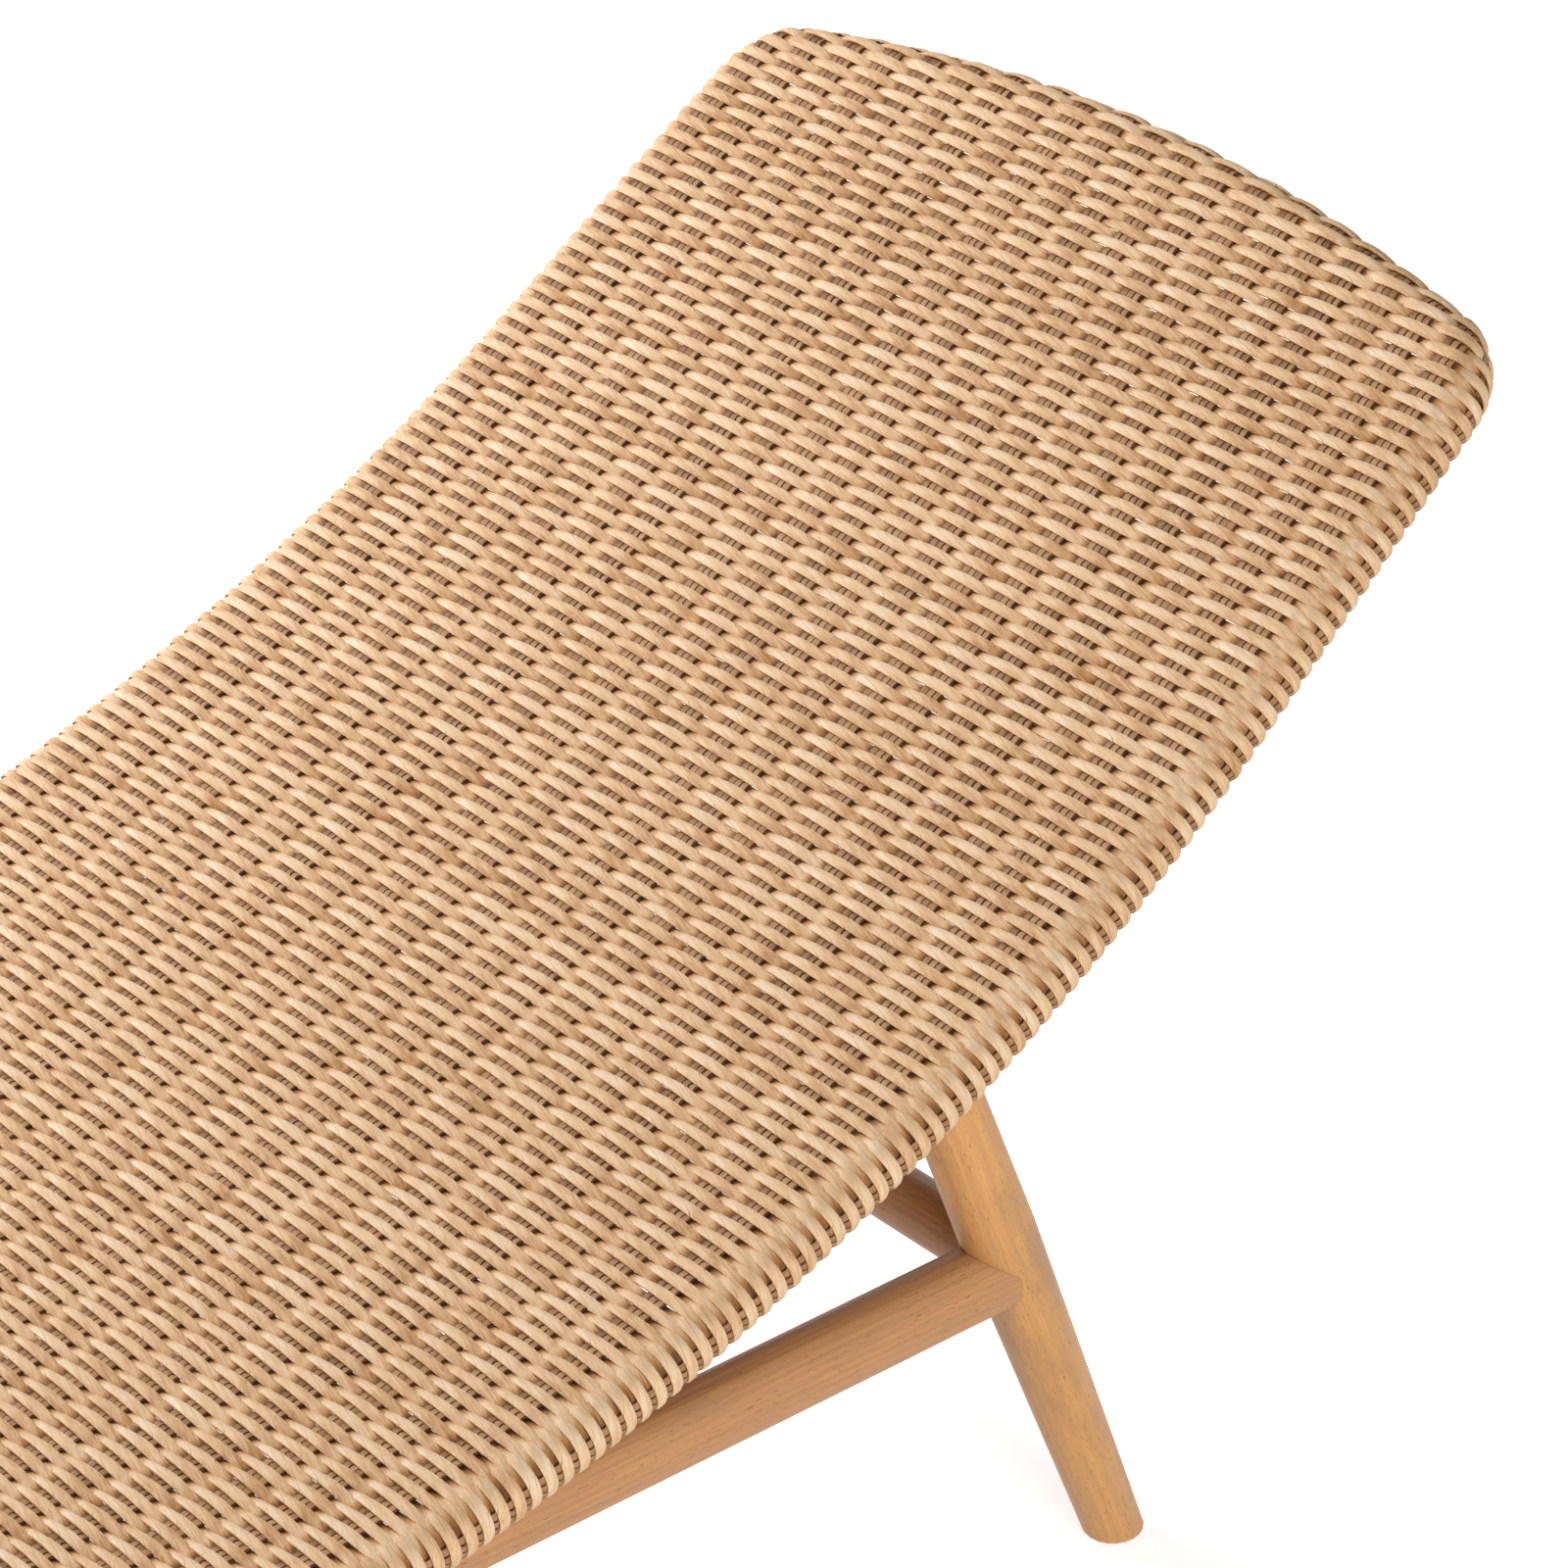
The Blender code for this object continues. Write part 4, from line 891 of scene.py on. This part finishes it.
def coated_metal_material():
    material = bpy.data.materials.new("powder-coated aluminium")
    material.use_nodes = True
    shader = material.node_tree.nodes["Principled BSDF"]
    links = material.node_tree.links
    place = node(material, "TexCoord").outputs["Object"]
    peel = node(material, "TexNoise", Vector=place, Scale=1 / COAT_PEEL, Detail=2)
    cloud = node(material, "TexNoise", Vector=place, Scale=COAT_CLOUDS_PER_METRE, Detail=3)
    level = node(material, "Math", MULTIPLY_ADD, n0=peel, n1=PEEL_CONTRAST, n2=cloud)
    stops = ((0.35, "#7f6041"), (0.65, "#947252"), (0.95, "#a58463"))
    colour = node(material, "ValToRGB", stops=stops, Fac=level)
    links.new(colour.outputs[0], shader.inputs["Base Color"])
    bump = node(material, "Bump", Height=peel, Distance=COAT_RELIEF, Strength=RELIEF_STRENGTH)
    links.new(bump.outputs[0], shader.inputs["Normal"])
    low, high = COAT_ROUGHNESS
    rough = node(material, "MapRange", Value=cloud, n1=NOISE_LOW, n2=NOISE_HIGH, n3=low, n4=high)
    links.new(rough.outputs[0], shader.inputs["Roughness"])
    shader.inputs["IOR"].default_value = 1.5
    return material


coated_metal = coated_metal_material()
corners = [f"{end_name}_{side_name}" for end_name in ("head", "foot") for side_name in ("left", "right")]
frame_tubes = ["side_tube_left", "side_tube_right", "head_tube", "foot_tube"]
cross_tube_places = ("back", "head_legs", "lumbar", "seat", "thigh", "foot_legs")
cross_tubes = [f"cross_tube_{place}" for place in cross_tube_places]
bosses = ["seat_boss_left", "seat_boss_right"]
brackets = [f"leg_bracket_{corner}" for corner in corners]
for name in frame_tubes + cross_tubes + bosses + brackets:
    finished_copy(name, "coated", coated_metal)

# The fixings: stainless screws through the leg brackets, and a bolt and washer up through each rail into
# its boss. Their turned heads are bright, with a fine grain in the steel.

# The real grain is finer than 0.1 mm, and is drawn coarser so that it shows
STEEL_GRAIN = 0.0004
STEEL_GRAIN_FLATNESS = 6
STEEL_RELIEF = 0.00002
STEEL_RELIEF_STRENGTH = 0.5
STEEL_ROUGHNESS = (0.24, 0.38)


def stainless_material():
    material = bpy.data.materials.new("turned stainless steel")
    material.use_nodes = True
    shader = material.node_tree.nodes["Principled BSDF"]
    links = material.node_tree.links
    place = node(material, "TexCoord").outputs["Object"]
    grain_place = node(material, "Mapping", Vector=place, Scale=(1, 1, STEEL_GRAIN_FLATNESS))
    grain = node(material, "TexNoise", Vector=grain_place, Scale=1 / STEEL_GRAIN, Detail=2)
    colour = node(material, "ValToRGB", stops=((0.3, "#a9a9a5"), (0.7, "#c9c9c6")), Fac=grain)
    links.new(colour.outputs[0], shader.inputs["Base Color"])
    shader.inputs["Metallic"].default_value = 1
    low, high = STEEL_ROUGHNESS
    rough = node(material, "MapRange", Value=grain, n1=NOISE_LOW, n2=NOISE_HIGH, n3=low, n4=high)
    links.new(rough.outputs[0], shader.inputs["Roughness"])
    bump = node(material, "Bump", Height=grain, Distance=STEEL_RELIEF, Strength=STEEL_RELIEF_STRENGTH)
    links.new(bump.outputs[0], shader.inputs["Normal"])
    return material


stainless = stainless_material()
screws = [f"leg_bracket_{corner}_screw_{number}" for corner in corners for number in (1, 2)]
rail_fixings = [f"rail_{kind}_{side_name}" for kind in ("bolt", "washer") for side_name in ("left", "right")]
for name in screws + rail_fixings:
    finished_copy(name, "steel", stainless)

# The glides: moulded nylon discs pressed into the feet, dark brown. The mould leaves them matt, with a
# fine even grain.

# The real grain of the mould is finer than 0.1 mm, and is drawn coarser so that it shows
NYLON_GRAIN = 0.0005
NYLON_RELIEF = 0.00005
NYLON_ROUGHNESS = (0.50, 0.64)


def nylon_material():
    material = bpy.data.materials.new("moulded nylon")
    material.use_nodes = True
    shader = material.node_tree.nodes["Principled BSDF"]
    links = material.node_tree.links
    place = node(material, "TexCoord").outputs["Object"]
    grain = node(material, "TexNoise", Vector=place, Scale=1 / NYLON_GRAIN, Detail=2)
    colour = node(material, "ValToRGB", stops=((0.3, "#372b24"), (0.7, "#4a3b31")), Fac=grain)
    links.new(colour.outputs[0], shader.inputs["Base Color"])
    bump = node(material, "Bump", Height=grain, Distance=NYLON_RELIEF, Strength=RELIEF_STRENGTH)
    links.new(bump.outputs[0], shader.inputs["Normal"])
    low, high = NYLON_ROUGHNESS
    rough = node(material, "MapRange", Value=grain, n1=NOISE_LOW, n2=NOISE_HIGH, n3=low, n4=high)
    links.new(rough.outputs[0], shader.inputs["Roughness"])
    return material


moulded_nylon = nylon_material()
for corner in corners:
    finished_copy(f"foot_glide_{corner}", "moulded", moulded_nylon)

# The stage: a plain white floor and surround, lit by two large square softboxes. To the camera and in
# reflections both are white, the floor keeps the object's shadow, and from below it can be seen through.

FLOOR_COLOUR = "#eaeaea"
FLOOR_GLOW = 0.62
FLOOR_REACH = 12
WORLD_LIGHT = 0.30
WHITE = "#ffffff"


def background_rays(owner):
    """Is 1 for the rays that see the background: from the camera, or through a reflection or glass."""
    rays = node(owner, "LightPath").outputs
    seen = rays["Is Camera Ray"]
    for kind in ("Is Glossy Ray", "Is Transmission Ray"):
        seen = node(owner, "Math", {"operation": "MAXIMUM"}, n0=seen, n1=rays[kind])
    return seen


def floor_material():
    material = bpy.data.materials.new("white studio floor")
    material.use_nodes = True
    tree = material.node_tree
    tree.nodes.remove(tree.nodes["Principled BSDF"])
    diffuse = node(material, "BsdfDiffuse", Color=linear(FLOOR_COLOUR))
    glow = node(material, "Emission", Color=linear(WHITE), Strength=FLOOR_GLOW)
    added = node(material, "AddShader", n0=diffuse, n1=glow)
    seen = node(material, "MixShader", Fac=background_rays(material), n1=diffuse, n2=added)
    below = node(material, "NewGeometry").outputs["Backfacing"]
    open_below = node(material, "MixShader", Fac=below, n1=seen, n2=node(material, "BsdfTransparent"))
    tree.links.new(open_below.outputs[0], tree.nodes["Material Output"].inputs["Surface"])
    return material


def add_floor():
    shape = bmesh.new()
    bmesh.ops.create_grid(shape, x_segments=1, y_segments=1, size=FLOOR_REACH)
    mesh = bpy.data.meshes.new("floor")
    shape.to_mesh(mesh)
    shape.free()
    mesh.materials.append(floor_material())
    floor = bpy.data.objects.new("floor", mesh)
    bpy.context.scene.collection.objects.link(floor)


def add_world():
    world = bpy.data.worlds.new("white studio")
    world.use_nodes = True
    bpy.context.scene.world = world
    world.node_tree.nodes.clear()
    lit = node(world, "Background", Strength=WORLD_LIGHT)
    white = node(world, "Background", Color=linear(WHITE), Strength=1.0)
    mixed = node(world, "MixShader", Fac=background_rays(world), n1=lit, n2=white)
    node(world, "OutputWorld", Surface=mixed)


def add_softbox(name, place, target, size, power):
    lamp = bpy.data.lights.new(name, "AREA")
    lamp.shape = "SQUARE"
    lamp.size = size
    lamp.energy = power
    holder = bpy.data.objects.new(name, lamp)
    holder.location = place
    holder.rotation_euler = (Vector(target) - Vector(place)).to_track_quat("-Z", "Y").to_euler()
    bpy.context.scene.collection.objects.link(holder)


add_floor()
add_world()
add_softbox("far_softbox", place=(-0.6, 3.4, 2.2), target=(0.3, 0, 0.4), size=1.4, power=195)
add_softbox("near_softbox", place=(-0.4, -3.4, 1.2), target=(0.3, 0, 0.3), size=1.8, power=84)

# The camera stands where the photograph was taken from, worked out from the rows and edges of the weave.

CAMERA_PLACE = (-1.2209, -2.2704, 2.0702)
CAMERA_TILT = math.radians(60.7166)
CAMERA_TURN = math.radians(-40.4230)
CAMERA_LENS = 134.38
CAMERA_SENSOR = 36

camera_data = bpy.data.cameras.new("camera")
camera_data.lens = CAMERA_LENS
camera_data.sensor_width = CAMERA_SENSOR
camera = bpy.data.objects.new("camera", camera_data)
camera.location = CAMERA_PLACE
camera.rotation_euler = (CAMERA_TILT, 0, CAMERA_TURN)
bpy.context.scene.collection.objects.link(camera)
bpy.context.scene.camera = camera
bpy.context.scene.view_settings.view_transform = "Standard"
